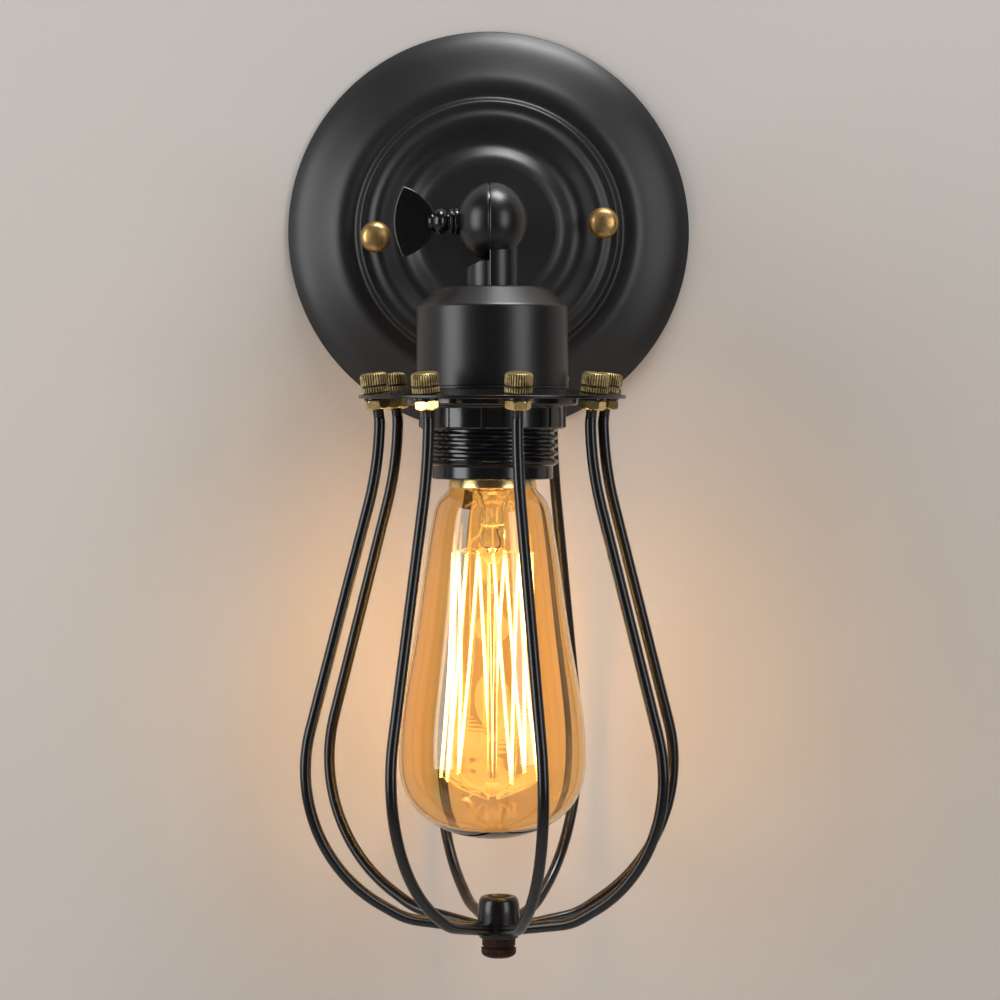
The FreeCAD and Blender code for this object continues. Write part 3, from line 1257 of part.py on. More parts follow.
def lead(side):
    """Route of one lead from the block through the arm, the knuckle and the stem to the lampholder.

    Side -1 is the outer lead at the knuckle's turn and side +1 is the inner one.
    """
    off = side * LEAD_SPACING / 2
    level = BLOCK_TUBE_LEVEL
    pole = -side * BLOCK_POLE_SPACING / 2
    terminal = side * (TERMINAL_SPACING / 2 + 0.6)
    beside = off * 3.8
    reach = KNUCKLE_LEAD_REACH + (side + 1) * 0.9
    points = [
        block_point(-BLOCK_WIDTH / 2 + 2.0, pole, level),
        block_point(-BLOCK_WIDTH / 2 - 3.4, pole, level),
        wall_point(LEAD_IN_ARM, -off, ARM_PIPE_START + 3.0),
        FreeCAD.Vector(LEAD_IN_ARM, -ARM_REACH + reach, -off),
        FreeCAD.Vector(LEAD_IN_STEM, -ARM_REACH + off, -reach),
        FreeCAD.Vector(LEAD_IN_STEM, -ARM_REACH + off, HOLDER_CAP_TOP - HOLDER_CAP_WALL - 3.0),
        FreeCAD.Vector(terminal, -ARM_REACH + beside, INSERT_TOP + 6.4),
        FreeCAD.Vector(terminal, -ARM_REACH + beside, INSERT_TOP + SEAT_GAP),
    ]
    bends = [LEAD_DIAMETER, 2 * LEAD_DIAMETER, KNUCKLE_LEAD_BEND, KNUCKLE_LEAD_BEND,
             3 * LEAD_DIAMETER, 2 * LEAD_DIAMETER]
    return round_bar(rounded_path(points, bends), LEAD_DIAMETER)


def live_lead():
    """Lead to the left terminal."""
    return lead(-1)


def neutral_lead():
    """Lead to the right terminal."""
    return lead(1)


NODES = [
    canopy, mounting_bracket, canopy_screws, stud_nuts, cap_nuts,
    arm_nipple, arm_sleeve, arm_tooth_washer, earth_lug, earth_screw, arm_lock_nut,
    knuckle_arm_half, knuckle_stem_half, friction_washer, wing_screw,
    lamp_nipple, socket_cup, cup_lock_nut,
    lampholder_cap, lampholder_skirt, lampholder_insert, screw_shell, centre_contact,
    holder_terminal_screws, retaining_ring,
    cage_plate, wire_washers, wire_nuts, knurled_nuts, hub, hub_screw,
    bulb_contact, bulb_insulator, bulb_cap, bulb_glass, glass_mount, filament,
    upper_supports, lower_supports, filament_leads,
    terminal_block, block_tubes, block_screws, block_fixing_screw,
    live_lead, neutral_lead,
]


def main():
    """Build every node and write it."""
    os.makedirs("parts", exist_ok=True)
    for build in NODES:
        export(build.__name__, build())
    for index in range(WIRE_COUNT):
        export("cage_wire_" + str(index + 1), cage_wire(index))


main()
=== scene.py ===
"""Looks of an adjustable cage wall light: satin black steel, aged brass and an amber lamp that is lit.

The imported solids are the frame. Each sub-assembly is a class that keeps its sizes as dataclass
fields in millimetres, works its surfaces out with numpy and dresses them with a finish.
"""
import json
import logging
import math
from dataclasses import dataclass
from enum import Enum
from typing import Callable, Sequence

import bmesh
import bpy
import numpy as np
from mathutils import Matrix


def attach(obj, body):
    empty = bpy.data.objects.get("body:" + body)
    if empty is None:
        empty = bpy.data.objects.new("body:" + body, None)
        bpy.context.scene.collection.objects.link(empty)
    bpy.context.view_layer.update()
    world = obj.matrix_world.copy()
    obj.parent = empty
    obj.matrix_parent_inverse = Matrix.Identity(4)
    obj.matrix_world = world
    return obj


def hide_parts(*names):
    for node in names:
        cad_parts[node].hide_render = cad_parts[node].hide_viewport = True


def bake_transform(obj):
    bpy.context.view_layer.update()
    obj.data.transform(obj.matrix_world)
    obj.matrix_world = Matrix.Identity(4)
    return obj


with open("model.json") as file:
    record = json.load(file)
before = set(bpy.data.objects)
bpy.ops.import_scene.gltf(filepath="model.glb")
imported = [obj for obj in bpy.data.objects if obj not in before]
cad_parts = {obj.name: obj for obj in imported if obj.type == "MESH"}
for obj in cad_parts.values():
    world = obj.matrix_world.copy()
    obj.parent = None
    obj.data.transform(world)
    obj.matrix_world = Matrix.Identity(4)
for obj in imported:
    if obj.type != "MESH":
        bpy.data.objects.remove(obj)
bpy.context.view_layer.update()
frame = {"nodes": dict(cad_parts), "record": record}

log = logging.getLogger("wall_light")

MM = 0.001
ARM_REACH = 64.0            # wall to the lamp's axis
CUP_TOP = 20.3              # below the knuckle's turning axis
CUP_RADIUS = 23.5
PLATE_TOP = -51.9           # flat middle of the plate, from the turning axis
PLATE_THICKNESS = 1.1
PLATE_FLAT = 27.5           # radius of the flat middle
PLATE_RADIUS = 41.5
PLATE_SLOPE = 8.0           # degrees, fall of the plate's rim
WIRE_CIRCLE = 36.7          # radius of the circle of holes
WIRE_COUNT = 8
WIRE_TURN = 11.2            # degrees, first hole from the viewer's side towards the right
STUD_TURN = 3.5             # degrees, line of the two dome nuts
HOLDER_BOTTOM = -79.7
CAP_RIM = -82.4             # lower end of the lamp's metal cap
LAMP_TIP = -57.4
LAMP_END = -191.4
FLOOR_LEVEL = -219.9        # where the wires' lowest runs would meet in the hub
FLOOR_SLOPE = 9.5           # degrees, the lowest runs fall towards the hub
HUB_SHIFT = 2.0             # hub's middle, right of the lamp's axis
GAP = 0.05                  # left between two parts that touch

Array = np.ndarray
Triple = tuple[float, float, float]
Offset = tuple[Array, Array]
Relief = Callable[[Array, Array, Array], Offset]    # (angle, radius, height) to (offset, wear)


# ------------------------------------------------------------------ shader maths
class Value:
    """A number socket of a node tree; Python's operators add Math nodes."""

    def __init__(self, tree: "Shader", socket: bpy.types.NodeSocket) -> None:
        """Wrap a socket of the given tree."""
        self.tree = tree
        self.socket = socket

    def _math(self, operation: str, *others: "Value | float", clamp: bool = False) -> "Value":
        """Add a Math node.

        Args:
            operation: The node's operation.
            others: Its further operands.
            clamp: Whether the result is held between 0 and 1.

        Returns:
            The node's result.
        """
        inputs = {0: self}
        inputs.update({index: other for index, other in enumerate(others, start=1)})
        return self.tree.add("ShaderNodeMath", {"operation": operation, "use_clamp": clamp}, inputs)

    def __add__(self, other: "Value | float") -> "Value":
        """Sum."""
        return self._math("ADD", other)

    def __sub__(self, other: "Value | float") -> "Value":
        """Difference."""
        return self._math("SUBTRACT", other)

    def __mul__(self, other: "Value | float") -> "Value":
        """Product."""
        return self._math("MULTIPLY", other)

    def __truediv__(self, other: "Value | float") -> "Value":
        """Quotient."""
        return self._math("DIVIDE", other)

    def __pow__(self, other: "Value | float") -> "Value":
        """Power."""
        return self._math("POWER", other)

    def __radd__(self, other: float) -> "Value":
        """Sum with a number on the left."""
        return self._math("ADD", other)

    def __rmul__(self, other: float) -> "Value":
        """Product with a number on the left."""
        return self._math("MULTIPLY", other)

    def __rsub__(self, other: float) -> "Value":
        """A number minus this value."""
        return self._math("MULTIPLY", -1.0)._math("ADD", other)

    def __neg__(self) -> "Value":
        """The value with its sign changed."""
        return self._math("MULTIPLY", -1.0)

    def size(self) -> "Value":
        """The value without its sign."""
        return self._math("ABSOLUTE")

    def above(self, edge: float, width: float) -> "Value":
        """0 below the edge, 1 above it, with a straight ramp of the given width between."""
        return (self - (edge - width / 2))._math("DIVIDE", width, clamp=True)

    def clamped(self) -> "Value":
        """The value held between 0 and 1."""
        return self._math("ADD", 0.0, clamp=True)


class Shader:
    """A material's node tree with one generic way to add a node."""

    def __init__(self, name: str) -> None:
        """Make an empty material of that name.

        Args:
            name: The material's name.
        """
        self.material = bpy.data.materials.new(name)
        self.material.use_nodes = True
        self.nodes = self.material.node_tree.nodes
        self.links = self.material.node_tree.links
        self.nodes.clear()
        self.output = self.nodes.new("ShaderNodeOutputMaterial")

    def add(self, kind: str, settings: dict | None = None, inputs: dict | None = None,
            result: int | str = 0) -> Value:
        """Add a node of any kind.

        Args:
            kind: The node's type.
            settings: Its settings, set before its sockets.
            inputs: Socket names or numbers with a Value, a number or a tuple each.
            result: Which output is given back.

        Returns:
            The chosen output.
        """
        node = self.nodes.new(kind)
        for key, setting in (settings or {}).items():
            setattr(node, key, setting)
        for key, value in (inputs or {}).items():
            if isinstance(value, Value):
                self.links.new(value.socket, node.inputs[key])
                continue
            socket = node.inputs[key]
            colour = isinstance(value, tuple) and len(value) == 3 and len(socket.default_value) == 4
            socket.default_value = (*value, 1.0) if colour else value
        return Value(self, node.outputs[result])

    def place(self) -> Value:
        """The surface point in the object's own coordinates, in metres."""
        return self.add("ShaderNodeTexCoord", result="Object")

    def height(self) -> Value:
        """The surface point's height in metres."""
        return self.add("ShaderNodeSeparateXYZ", {}, {0: self.place()}, result="Z")

    def noise(self, scale: float, detail: float = 3.0, roughness: float = 0.55,
              stretch: Triple = (1.0, 1.0, 1.0)) -> Value:
        """Soft noise between 0 and 1.

        Args:
            scale: Cells per metre.
            detail: Number of finer layers.
            roughness: Strength of the finer layers.
            stretch: Factor on each coordinate.

        Returns:
            The noise's value.
        """
        point = self.add("ShaderNodeVectorMath", {"operation": "MULTIPLY"},
                         {0: self.place(), 1: stretch})
        return self.add("ShaderNodeTexNoise", {"noise_dimensions": "3D"},
                        {"Vector": point, "Scale": scale, "Detail": detail, "Roughness": roughness})

    def attribute(self, name: str) -> Value:
        """A number that the mesh stores at its vertices."""
        return self.add("ShaderNodeAttribute", {"attribute_name": name}, result="Fac")

    def mix(self, share: Value | float, low: Value | tuple, high: Value | tuple) -> Value:
        """Blend two colours.

        Args:
            share: 0 gives the low colour and 1 the high one.
            low: First colour.
            high: Second colour.

        Returns:
            The blended colour.
        """
        node = self.nodes.new("ShaderNodeMix")
        node.data_type = "RGBA"
        node.clamp_factor = True
        for socket, value in ((node.inputs[0], share), (node.inputs[6], low), (node.inputs[7], high)):
            if isinstance(value, Value):
                self.links.new(value.socket, socket)
            elif isinstance(value, tuple):
                socket.default_value = (*value, 1.0)
            else:
                socket.default_value = value
        return Value(self, node.outputs[2])

    def bump(self, height: Value, depth: float) -> Value:
        """Normal from a height.

        Args:
            height: Height between 0 and 1.
            depth: Depth of the relief in metres.

        Returns:
            The normal.
        """
        return self.add("ShaderNodeBump", {}, {"Strength": 1.0, "Distance": depth, "Height": height})

    def principled(self, **sockets: Value | float | tuple) -> Value:
        """The main surface shader.

        Args:
            sockets: Socket names with underscores in place of blanks, and their values.

        Returns:
            The shader.
        """
        named = {name.replace("_", " "): value for name, value in sockets.items()}
        return self.add("ShaderNodeBsdfPrincipled", {}, named)

    def finish(self, surface: Value) -> bpy.types.Material:
        """Link the surface to the output and give the material back."""
        self.links.new(surface.socket, self.output.inputs["Surface"])
        return self.material


def scaled(colour: Sequence[float], factor: float, lift: float = 0.0) -> tuple[float, ...]:
    """A colour times a factor plus a lift, held at 1."""
    return tuple(min(1.0, channel * factor + lift) for channel in colour)


# ------------------------------------------------------------------ finishes
@dataclass(frozen=True)
class Enamel:
    """Black enamel on metal: thin and thick patches, a fine grain, and dust sunk in the coat."""

    name: str
    colour: Triple
    roughness: float
    grain: float                    # metres, depth of the grain
    grain_scale: float              # cells per metre, as the other scales
    dust: float = 0.3
    seam: float | None = None       # metres, place of a seam line across the piece, drawn as a groove bump and a painted shade line
    seam_half: float = 0.00030      # metres, from the line's middle to its shaded edge
    seam_ramp: float = 0.00035
    seam_depth: float = 0.00018
    cloud_scale: float = 38.0
    patch_scale: float = 140.0
    dust_scale: float = 2600.0

    def build(self) -> bpy.types.Material:
        """Make the material.

        Returns:
            The material.
        """
        shader = Shader(self.name)
        clouds = shader.noise(self.cloud_scale, 4.0)
        patches = shader.noise(self.patch_scale, 3.0)
        dust = shader.noise(self.dust_scale, 2.0).above(0.67, 0.06) * self.dust
        tone = shader.mix(clouds, scaled(self.colour, 0.75), scaled(self.colour, 1.3))
        tone = shader.mix(dust, tone, scaled(self.colour, 2.6, 0.01))
        grain = shader.noise(self.grain_scale, 2.0, 0.5)
        rough = clouds * 0.08 + patches * 0.06 + (self.roughness - 0.07) + dust * 0.3
        relief, depth = grain * 0.7 + patches * 0.3, self.grain
        if self.seam is not None:
            across = shader.add("ShaderNodeSeparateXYZ", {}, {0: shader.place()}, result="X")
            seam_groove_and_shade = (across - self.seam).size().above(self.seam_half, self.seam_ramp)
            relief, depth = relief * (self.grain / self.seam_depth) + seam_groove_and_shade, self.seam_depth
            # Painted shade: along the seam the colour is darkened to 0.3 of the enamel's, standing in
            # for the shade in the gap between the two halves.
            tone = shader.mix(seam_groove_and_shade, scaled(self.colour, 0.3), tone)
        surface = shader.principled(Base_Color=tone, Roughness=rough, IOR=1.5,
                                    Normal=shader.bump(relief, depth))
        return shader.finish(surface)


@dataclass(frozen=True)
class Plating:
    """Bare or plated metal: fine scratches, soft spots of tarnish and dirt kept in the grooves."""

    name: str
    bright: Triple
    tarnish: Triple
    roughness: float
    tarnish_share: float
    scale: float = 900.0
    stretch: Triple = (1.0, 1.0, 1.0)
    worn: bool = False              # the mesh stores "wear", 0 in its grooves and 1 on its crests
    scratch: float = 0.00002        # metres, depth of the scratches

    def build(self) -> bpy.types.Material:
        """Make the material.

        Returns:
            The material.
        """
        shader = Shader(self.name)
        spots = shader.noise(self.scale * 0.35, 4.0, 0.6)
        fine = shader.noise(self.scale * 3.0, 3.0, 0.6, self.stretch)
        shade = spots.above(1.0 - self.tarnish_share, 0.35)
        if self.worn:
            crest = shader.attribute("wear")
            shade = (shade * 0.7 + (1.0 - crest) * 0.9).clamped()
        tone = shader.mix(shade, self.bright, self.tarnish)
        tone = shader.mix(fine * 0.25, tone, scaled(self.bright, 0.5))
        rough = shade * 0.24 + fine * 0.16 + (self.roughness - 0.08)
        metal = 1.0 - shade * 0.3
        surface = shader.principled(Base_Color=tone, Roughness=rough, Metallic=metal,
                                    Normal=shader.bump(fine, self.scratch))
        return shader.finish(surface)


@dataclass(frozen=True)
class Moulding:
    """Moulded plastic or pressed ceramic: even colour with faint flow clouds and a fine skin."""

    name: str
    colour: Triple
    clouds: Triple
    roughness: float
    skin: float = 0.000012          # metres, depth of the fine skin
    skin_scale: float = 1500.0
    speck: Triple | None = None
    flow_scale: float = 90.0
    speck_scale: float = 3200.0

    def build(self) -> bpy.types.Material:
        """Make the material.

        Returns:
            The material.
        """
        shader = Shader(self.name)
        flow = shader.noise(self.flow_scale, 4.0, 0.6, (1.0, 1.0, 0.35))
        skin = shader.noise(self.skin_scale, 3.0)
        tone = shader.mix(flow.above(0.5, 0.4), self.colour, self.clouds)
        if self.speck:
            specks = shader.noise(self.speck_scale, 1.0).above(0.70, 0.04) * 0.6
            tone = shader.mix(specks, tone, self.speck)
        rough = flow * 0.10 + skin * 0.06 + (self.roughness - 0.08)
        surface = shader.principled(Base_Color=tone, Roughness=rough, IOR=1.55,
                                    Normal=shader.bump(skin, self.skin))
        return shader.finish(surface)


@dataclass(frozen=True)
class Glass:
    """Blown glass: tinted, with long faint waves, and lamps shine through it."""

    name: str
    tint: Triple
    through: Triple
    waves: float = 0.000006         # metres, depth of the waves
    wave_scale: float = 30.0
    seed_scale: float = 1400.0      # fine bubbles in the glass

    def build(self) -> bpy.types.Material:
        """Make the material.

        Returns:
            The material.
        """
        shader = Shader(self.name)
        wave = shader.noise(self.wave_scale, 1.0, 0.3, (1.0, 1.0, 0.35))
        seed = shader.noise(self.seed_scale, 1.0).above(0.80, 0.03)
        tone = shader.mix(wave, self.tint, scaled(self.tint, 1.05))
        glass = shader.principled(Base_Color=tone, Roughness=seed * 0.1 + 0.012, IOR=1.45,
                                  Transmission_Weight=1.0, Normal=shader.bump(wave, self.waves))
        clear = shader.add("ShaderNodeBsdfTransparent", {}, {"Color": self.through})
        lamp_ray = shader.add("ShaderNodeLightPath", result="Is Shadow Ray")
        surface = shader.add("ShaderNodeMixShader", {}, {0: lamp_ray, 1: glass, 2: clear})
        return shader.finish(surface)


@dataclass(frozen=True)
class Glow:
    """Hot wire: bright along each strand and cooler where a support carries heat away. On the supports
    and lead-in wires the same glow is a painted highlight for the filament's light that they reflect.
    """

    name: str
    hot: Triple
    cool: Triple
    strength: float
    top: float              # metres, height of the upper bends
    bottom: float           # metres, height of the lower bends
    cold: Triple = (0.25, 0.2, 0.15)
    flicker_scale: float = 220.0

    def build(self) -> bpy.types.Material:
        """Make the material.

        Returns:
            The material.
        """
        shader = Shader(self.name)
        share = (shader.height() - self.bottom) / (self.top - self.bottom)
        ends = share.above(0.05, 0.10) * (1.0 - share.above(0.95, 0.10))
        flicker = shader.noise(self.flicker_scale, 2.0)
        tone = shader.mix(ends * (flicker * 0.3 + 0.8), self.cool, self.hot)
        surface = shader.principled(Base_Color=self.cold, Roughness=0.5, Emission_Color=tone,
                                    Emission_Strength=self.strength)
        return shader.finish(surface)


@dataclass(frozen=True)
class Sleeve:
    """Soft insulation: a dull skin with faint die lines and lint."""

    name: str
    colour: Triple
    lint: Triple = (0.5, 0.48, 0.45)
    lint_scale: float = 1800.0
    cloud_scale: float = 160.0
    skin: float = 0.00002           # metres, depth of the fine skin

    def build(self) -> bpy.types.Material:
        """Make the material.

        Returns:
            The material.
        """
        shader = Shader(self.name)
        lint = shader.noise(self.lint_scale, 3.0)
        cloud = shader.noise(self.cloud_scale, 3.0)
        tone = shader.mix(cloud, scaled(self.colour, 0.75), scaled(self.colour, 1.3))
        tone = shader.mix(lint.above(0.68, 0.05) * 0.3, tone, self.lint)
        surface = shader.principled(Base_Color=tone, Roughness=lint * 0.15 + 0.5,
                                    Normal=shader.bump(lint, self.skin))
        return shader.finish(surface)


HOT_SPAN = (-0.1024, -0.1725)       # metres, heights of the filament's upper and lower bends


class Slot(Enum):
    """The record's material slots with the finish of each."""

    black_paint = Enamel("satin_enamel", (0.0105, 0.0096, 0.0099), 0.40, 0.000010, 3200.0)
    antique_brass = Plating("antique_brass", (0.50, 0.36, 0.16), (0.10, 0.062, 0.026), 0.34, 0.45)
    bright_brass = Plating("bright_brass", (0.90, 0.68, 0.30), (0.42, 0.27, 0.09), 0.22, 0.20)
    zinc_steel = Plating("zinc_steel", (0.62, 0.62, 0.60), (0.33, 0.33, 0.33), 0.28, 0.30)
    black_bakelite = Moulding("black_moulding", (0.0050, 0.0046, 0.0048), (0.009, 0.0085, 0.0085), 0.19)
    white_ceramic = Moulding("white_ceramic", (0.80, 0.78, 0.72), (0.72, 0.69, 0.62), 0.22,
                             speck=(0.45, 0.40, 0.33))
    amber_glass = Glass("amber_glass", (1.0, 0.765, 0.44), (1.0, 0.86, 0.62))
    clear_glass = Glass("clear_glass", (0.98, 0.96, 0.92), (0.98, 0.97, 0.94))
    glowing_wire = Glow("glowing_wire", (1.0, 0.78, 0.36), (1.0, 0.48, 0.12), 9.0, *HOT_SPAN)
    black_glass = Moulding("black_glass", (0.010, 0.010, 0.014), (0.020, 0.018, 0.026), 0.12)
    white_plastic = Moulding("white_plastic", (0.76, 0.76, 0.72), (0.70, 0.69, 0.64), 0.42)
    brown_sleeve = Sleeve("brown_sleeve", (0.16, 0.07, 0.03))
    blue_sleeve = Sleeve("blue_sleeve", (0.04, 0.12, 0.36))
    solder = Plating("solder", (0.66, 0.66, 0.64), (0.36, 0.36, 0.37), 0.34, 0.45)


class Variant(Enum):
    """Finishes that a slot takes on single pieces: other gloss, wear stored in the mesh, a painted
    shade line along the ball's seam, or a painted glow on the filament's supports.
    """

    cup_enamel = Enamel("cup_enamel", (0.0046, 0.0042, 0.0045), 0.35, 0.000010, 3200.0)
    # The ball's seam at x = -1.1 mm gets a groove bump and a painted shade line.
    ball_enamel = Enamel("ball_enamel", (0.0042, 0.0038, 0.0040), 0.33, 0.000012, 2600.0, 0.2, -0.0011)
    gloss_enamel = Enamel("gloss_enamel", (0.0040, 0.0036, 0.0038), 0.20, 0.000008, 2600.0, 0.12)
    wire_enamel = Enamel("wire_enamel", (0.0048, 0.0040, 0.0040), 0.25, 0.000010, 2200.0, 0.2)
    knurled_brass = Plating("knurled_brass", (0.86, 0.64, 0.27), (0.014, 0.010, 0.006), 0.25, 0.60,
                            worn=True)
    screw_brass = Plating("screw_brass", (0.10, 0.048, 0.030), (0.010, 0.006, 0.004), 0.36, 0.50,
                          worn=True)
    dome_brass = Plating("dome_brass", (0.62, 0.41, 0.16), (0.19, 0.095, 0.032), 0.30, 0.50, worn=True)
    # Painted glow: the filament's supports and lead-in wires are no lamps; their weak emission is a
    # painted highlight standing in for the filament's light that they reflect.
    hot_support = Glow("hot_support", (1.0, 0.66, 0.24), (1.0, 0.50, 0.14), 0.9, *HOT_SPAN)


# ------------------------------------------------------------------ surfaces
@dataclass
class Surface:
    """Vertices in millimetres about the lamp's own axis, faces, and the wear stored with them."""

    points: Array
    faces: Array
    wear: Array | None = None

    def placed(self, turn: Callable[[Array], Array]) -> "Surface":
        """The same surface with another placing of its points."""
        return Surface(turn(self.points), self.faces, self.wear)

    def moved(self, x: float, y: float, z: float) -> "Surface":
        """The same surface moved by millimetres."""
        return Surface(self.points + np.array([x, y, z]), self.faces, self.wear)


def joined(surfaces: Sequence[Surface]) -> Surface:
    """Join surfaces, with each one's faces counted on from the last one's points.

    Args:
        surfaces: The surfaces.

    Returns:
        One surface with all of them.
    """
    counts = np.cumsum([0] + [len(surface.points) for surface in surfaces[:-1]])
    points = np.concatenate([surface.points for surface in surfaces])
    faces = np.concatenate([surface.faces + start for surface, start in zip(surfaces, counts)])
    worn = [surface.wear if surface.wear is not None else np.ones(len(surface.points))
            for surface in surfaces]
    return Surface(points, faces, np.concatenate(worn))


def turn_about(points: Array, axis: int, degrees: float) -> Array:
    """Points turned about a coordinate axis through the origin.

    With a and b the two coordinates after the axis in the order x, y, z, x, y, the new ones are
    a cos t - b sin t and a sin t + b cos t.

    Args:
        points: Points, one row each.
        axis: 0, 1 or 2.
        degrees: The angle t.

    Returns:
        The turned points.
    """
    first, second = (axis + 1) % 3, (axis + 2) % 3
    cosine, sine = math.cos(math.radians(degrees)), math.sin(math.radians(degrees))
    turned_points = points.copy()
    turned_points[:, first] = points[:, first] * cosine - points[:, second] * sine
    turned_points[:, second] = points[:, first] * sine + points[:, second] * cosine
    return turned_points


def rounded(corners: Sequence[tuple[float, ...]], steps: int = 7) -> Array:
    """Outline through corners given as (radius, height, bend), with every inner corner rounded.

    At a corner C with A and B on its two sides, a bend's length away but at most 0.45 of the side,
    the outline is (1-u)(1-u) A + 2u(1-u) C + uu B for u from 0 to 1.

    Args:
        corners: The corners; the first and the last keep a bend of 0.
        steps: Points on each bend.

    Returns:
        The outline's points, one row each.
    """
    table = np.asarray(corners, float)
    spots, bend = table[:, :-1], table[:, -1:]
    back = np.concatenate([spots[:1] * 0, spots[:-1] - spots[1:]])
    ahead = np.concatenate([spots[1:] - spots[:-1], spots[:1] * 0])
    back_length = np.linalg.norm(back, axis=1, keepdims=True)
    ahead_length = np.linalg.norm(ahead, axis=1, keepdims=True)
    start = spots + back * np.minimum(bend / np.maximum(back_length, 1e-9), 0.45)
    end = spots + ahead * np.minimum(bend / np.maximum(ahead_length, 1e-9), 0.45)
    u = np.linspace(0.0, 1.0, steps)[None, :, None]
    bends = (1 - u) ** 2 * start[:, None] + 2 * u * (1 - u) * spots[:, None] + u ** 2 * end[:, None]
    line = bends.reshape(-1, spots.shape[1])
    moved = np.linalg.norm(np.diff(line, axis=0), axis=1) > 1e-4
    return line[np.concatenate([[True], moved])]


def refined(line: Array, step: float) -> Array:
    """Add points to a line, each on the straight run between two that are there.

    Args:
        line: The line's points, one row each.
        step: The longest run between neighbours afterwards.

    Returns:
        The line with its own points and the new ones.
    """
    run = np.concatenate([[0.0], np.cumsum(np.linalg.norm(np.diff(line, axis=0), axis=1))])
    places = np.unique(np.concatenate([run, np.arange(0.0, run[-1], step)]))
    return np.stack([np.interp(places, run, column) for column in line.T], axis=1)


def smooth_line(knots: Sequence[tuple[float, float]], count: int) -> Array:
    """Smooth outline through knots.

    Each coordinate is a natural cubic spline over the run of the straight lines between the knots:
    between knots i and i+1, a distance h apart, with A = (t[i+1]-t)/h and B = 1-A, it is
    A y[i] + B y[i+1] + ((AAA-A) m[i] + (BBB-B) m[i+1]) hh/6, where the bendings m solve
    h[i-1] m[i-1] + 2(h[i-1]+h[i]) m[i] + h[i] m[i+1] = 6 (slope[i] - slope[i-1]).

    Args:
        knots: The points.
        count: How many points the outline gets.

    Returns:
        The outline's points, one row each.
    """
    spots = np.asarray(knots, float)
    gaps = np.linalg.norm(np.diff(spots, axis=0), axis=1)
    run = np.concatenate([[0.0], np.cumsum(gaps)])
    slope = np.diff(spots, axis=0) / gaps[:, None]
    inner = len(spots) - 2
    matrix = (np.diag(2 * (gaps[:-1] + gaps[1:])) + np.diag(gaps[1:-1], 1) + np.diag(gaps[1:-1], -1))
    bending = np.zeros_like(spots)
    bending[1:1 + inner] = np.linalg.solve(matrix, 6 * np.diff(slope, axis=0))
    place = np.linspace(0.0, run[-1], count)
    index = np.clip(np.searchsorted(run, place, side="right") - 1, 0, len(gaps) - 1)
    gap = gaps[index][:, None]
    a = (run[index + 1] - place)[:, None] / gap
    b = 1 - a
    bend = ((a ** 3 - a) * bending[index] + (b ** 3 - b) * bending[index + 1]) * gap ** 2 / 6
    return a * spots[index] + b * spots[index + 1] + bend


def grid_faces(rows: int, columns: int, ring_rows: bool = False, ring_columns: bool = True) -> Array:
    """Quads of a grid of points counted row by row.

    The quad at (i, j) joins (i, j), (i, j+1), (i+1, j+1) and (i+1, j); rings count on from 0.

    Args:
        rows: Rows of the grid.
        columns: Points in a row.
        ring_rows: Whether the last row joins the first.
        ring_columns: Whether each row's end joins its start.

    Returns:
        Four point numbers for each quad.
    """
    i = np.arange(rows if ring_rows else rows - 1)[:, None]
    j = np.arange(columns if ring_columns else columns - 1)[None, :]
    below, beside = (i + 1) % rows, (j + 1) % columns
    corners = [i * columns + j, i * columns + beside, below * columns + beside, below * columns + j]
    return np.stack(np.broadcast_arrays(*corners), axis=-1).reshape(-1, 4)


def turned(outline: Array, segments: int, relief: Relief | None = None, ring: bool = False) -> Surface:
    """Surface of revolution about the vertical axis.

    A point of the outline (r, z) gives (r' sin a, -r' cos a, z) for the angles a from 0 to a full
    turn, where r' is r plus the relief at (a, r, z).

    Args:
        outline: (radius, height) rows.
        segments: Number of angles.
        relief: Gives the radial offset and the wear for angles, radii and heights.
        ring: Whether the outline closes on itself.

    Returns:
        The surface.
    """
    angle = np.linspace(0.0, 2 * np.pi, segments, endpoint=False)[None, :]
    radius, height = outline[:, :1], outline[:, 1:2]
    offset, wear = relief(angle, radius, height) if relief else (0.0, 1.0)
    reach = radius + offset + 0 * angle
    points = np.stack([reach * np.sin(angle), -reach * np.cos(angle), height + 0 * reach], axis=-1)
    worn = (wear + 0 * reach).reshape(-1)
    return Surface(points.reshape(-1, 3), grid_faces(len(outline), segments, ring_rows=ring), worn)


def lathe(corners: Sequence[tuple[float, ...]], segments: int, step: float,
          relief: Relief | None = None, ring: bool = False) -> Surface:
    """Turned surface through corners that are rounded first.

    Args:
        corners: (radius, height, bend) rows.
        segments: Number of angles.
        step: The longest run between neighbours of the outline.
        relief: Relief of the surface.
        ring: Whether the outline closes on itself.

    Returns:
        The surface.
    """
    return turned(refined(rounded(corners), step), segments, relief, ring)


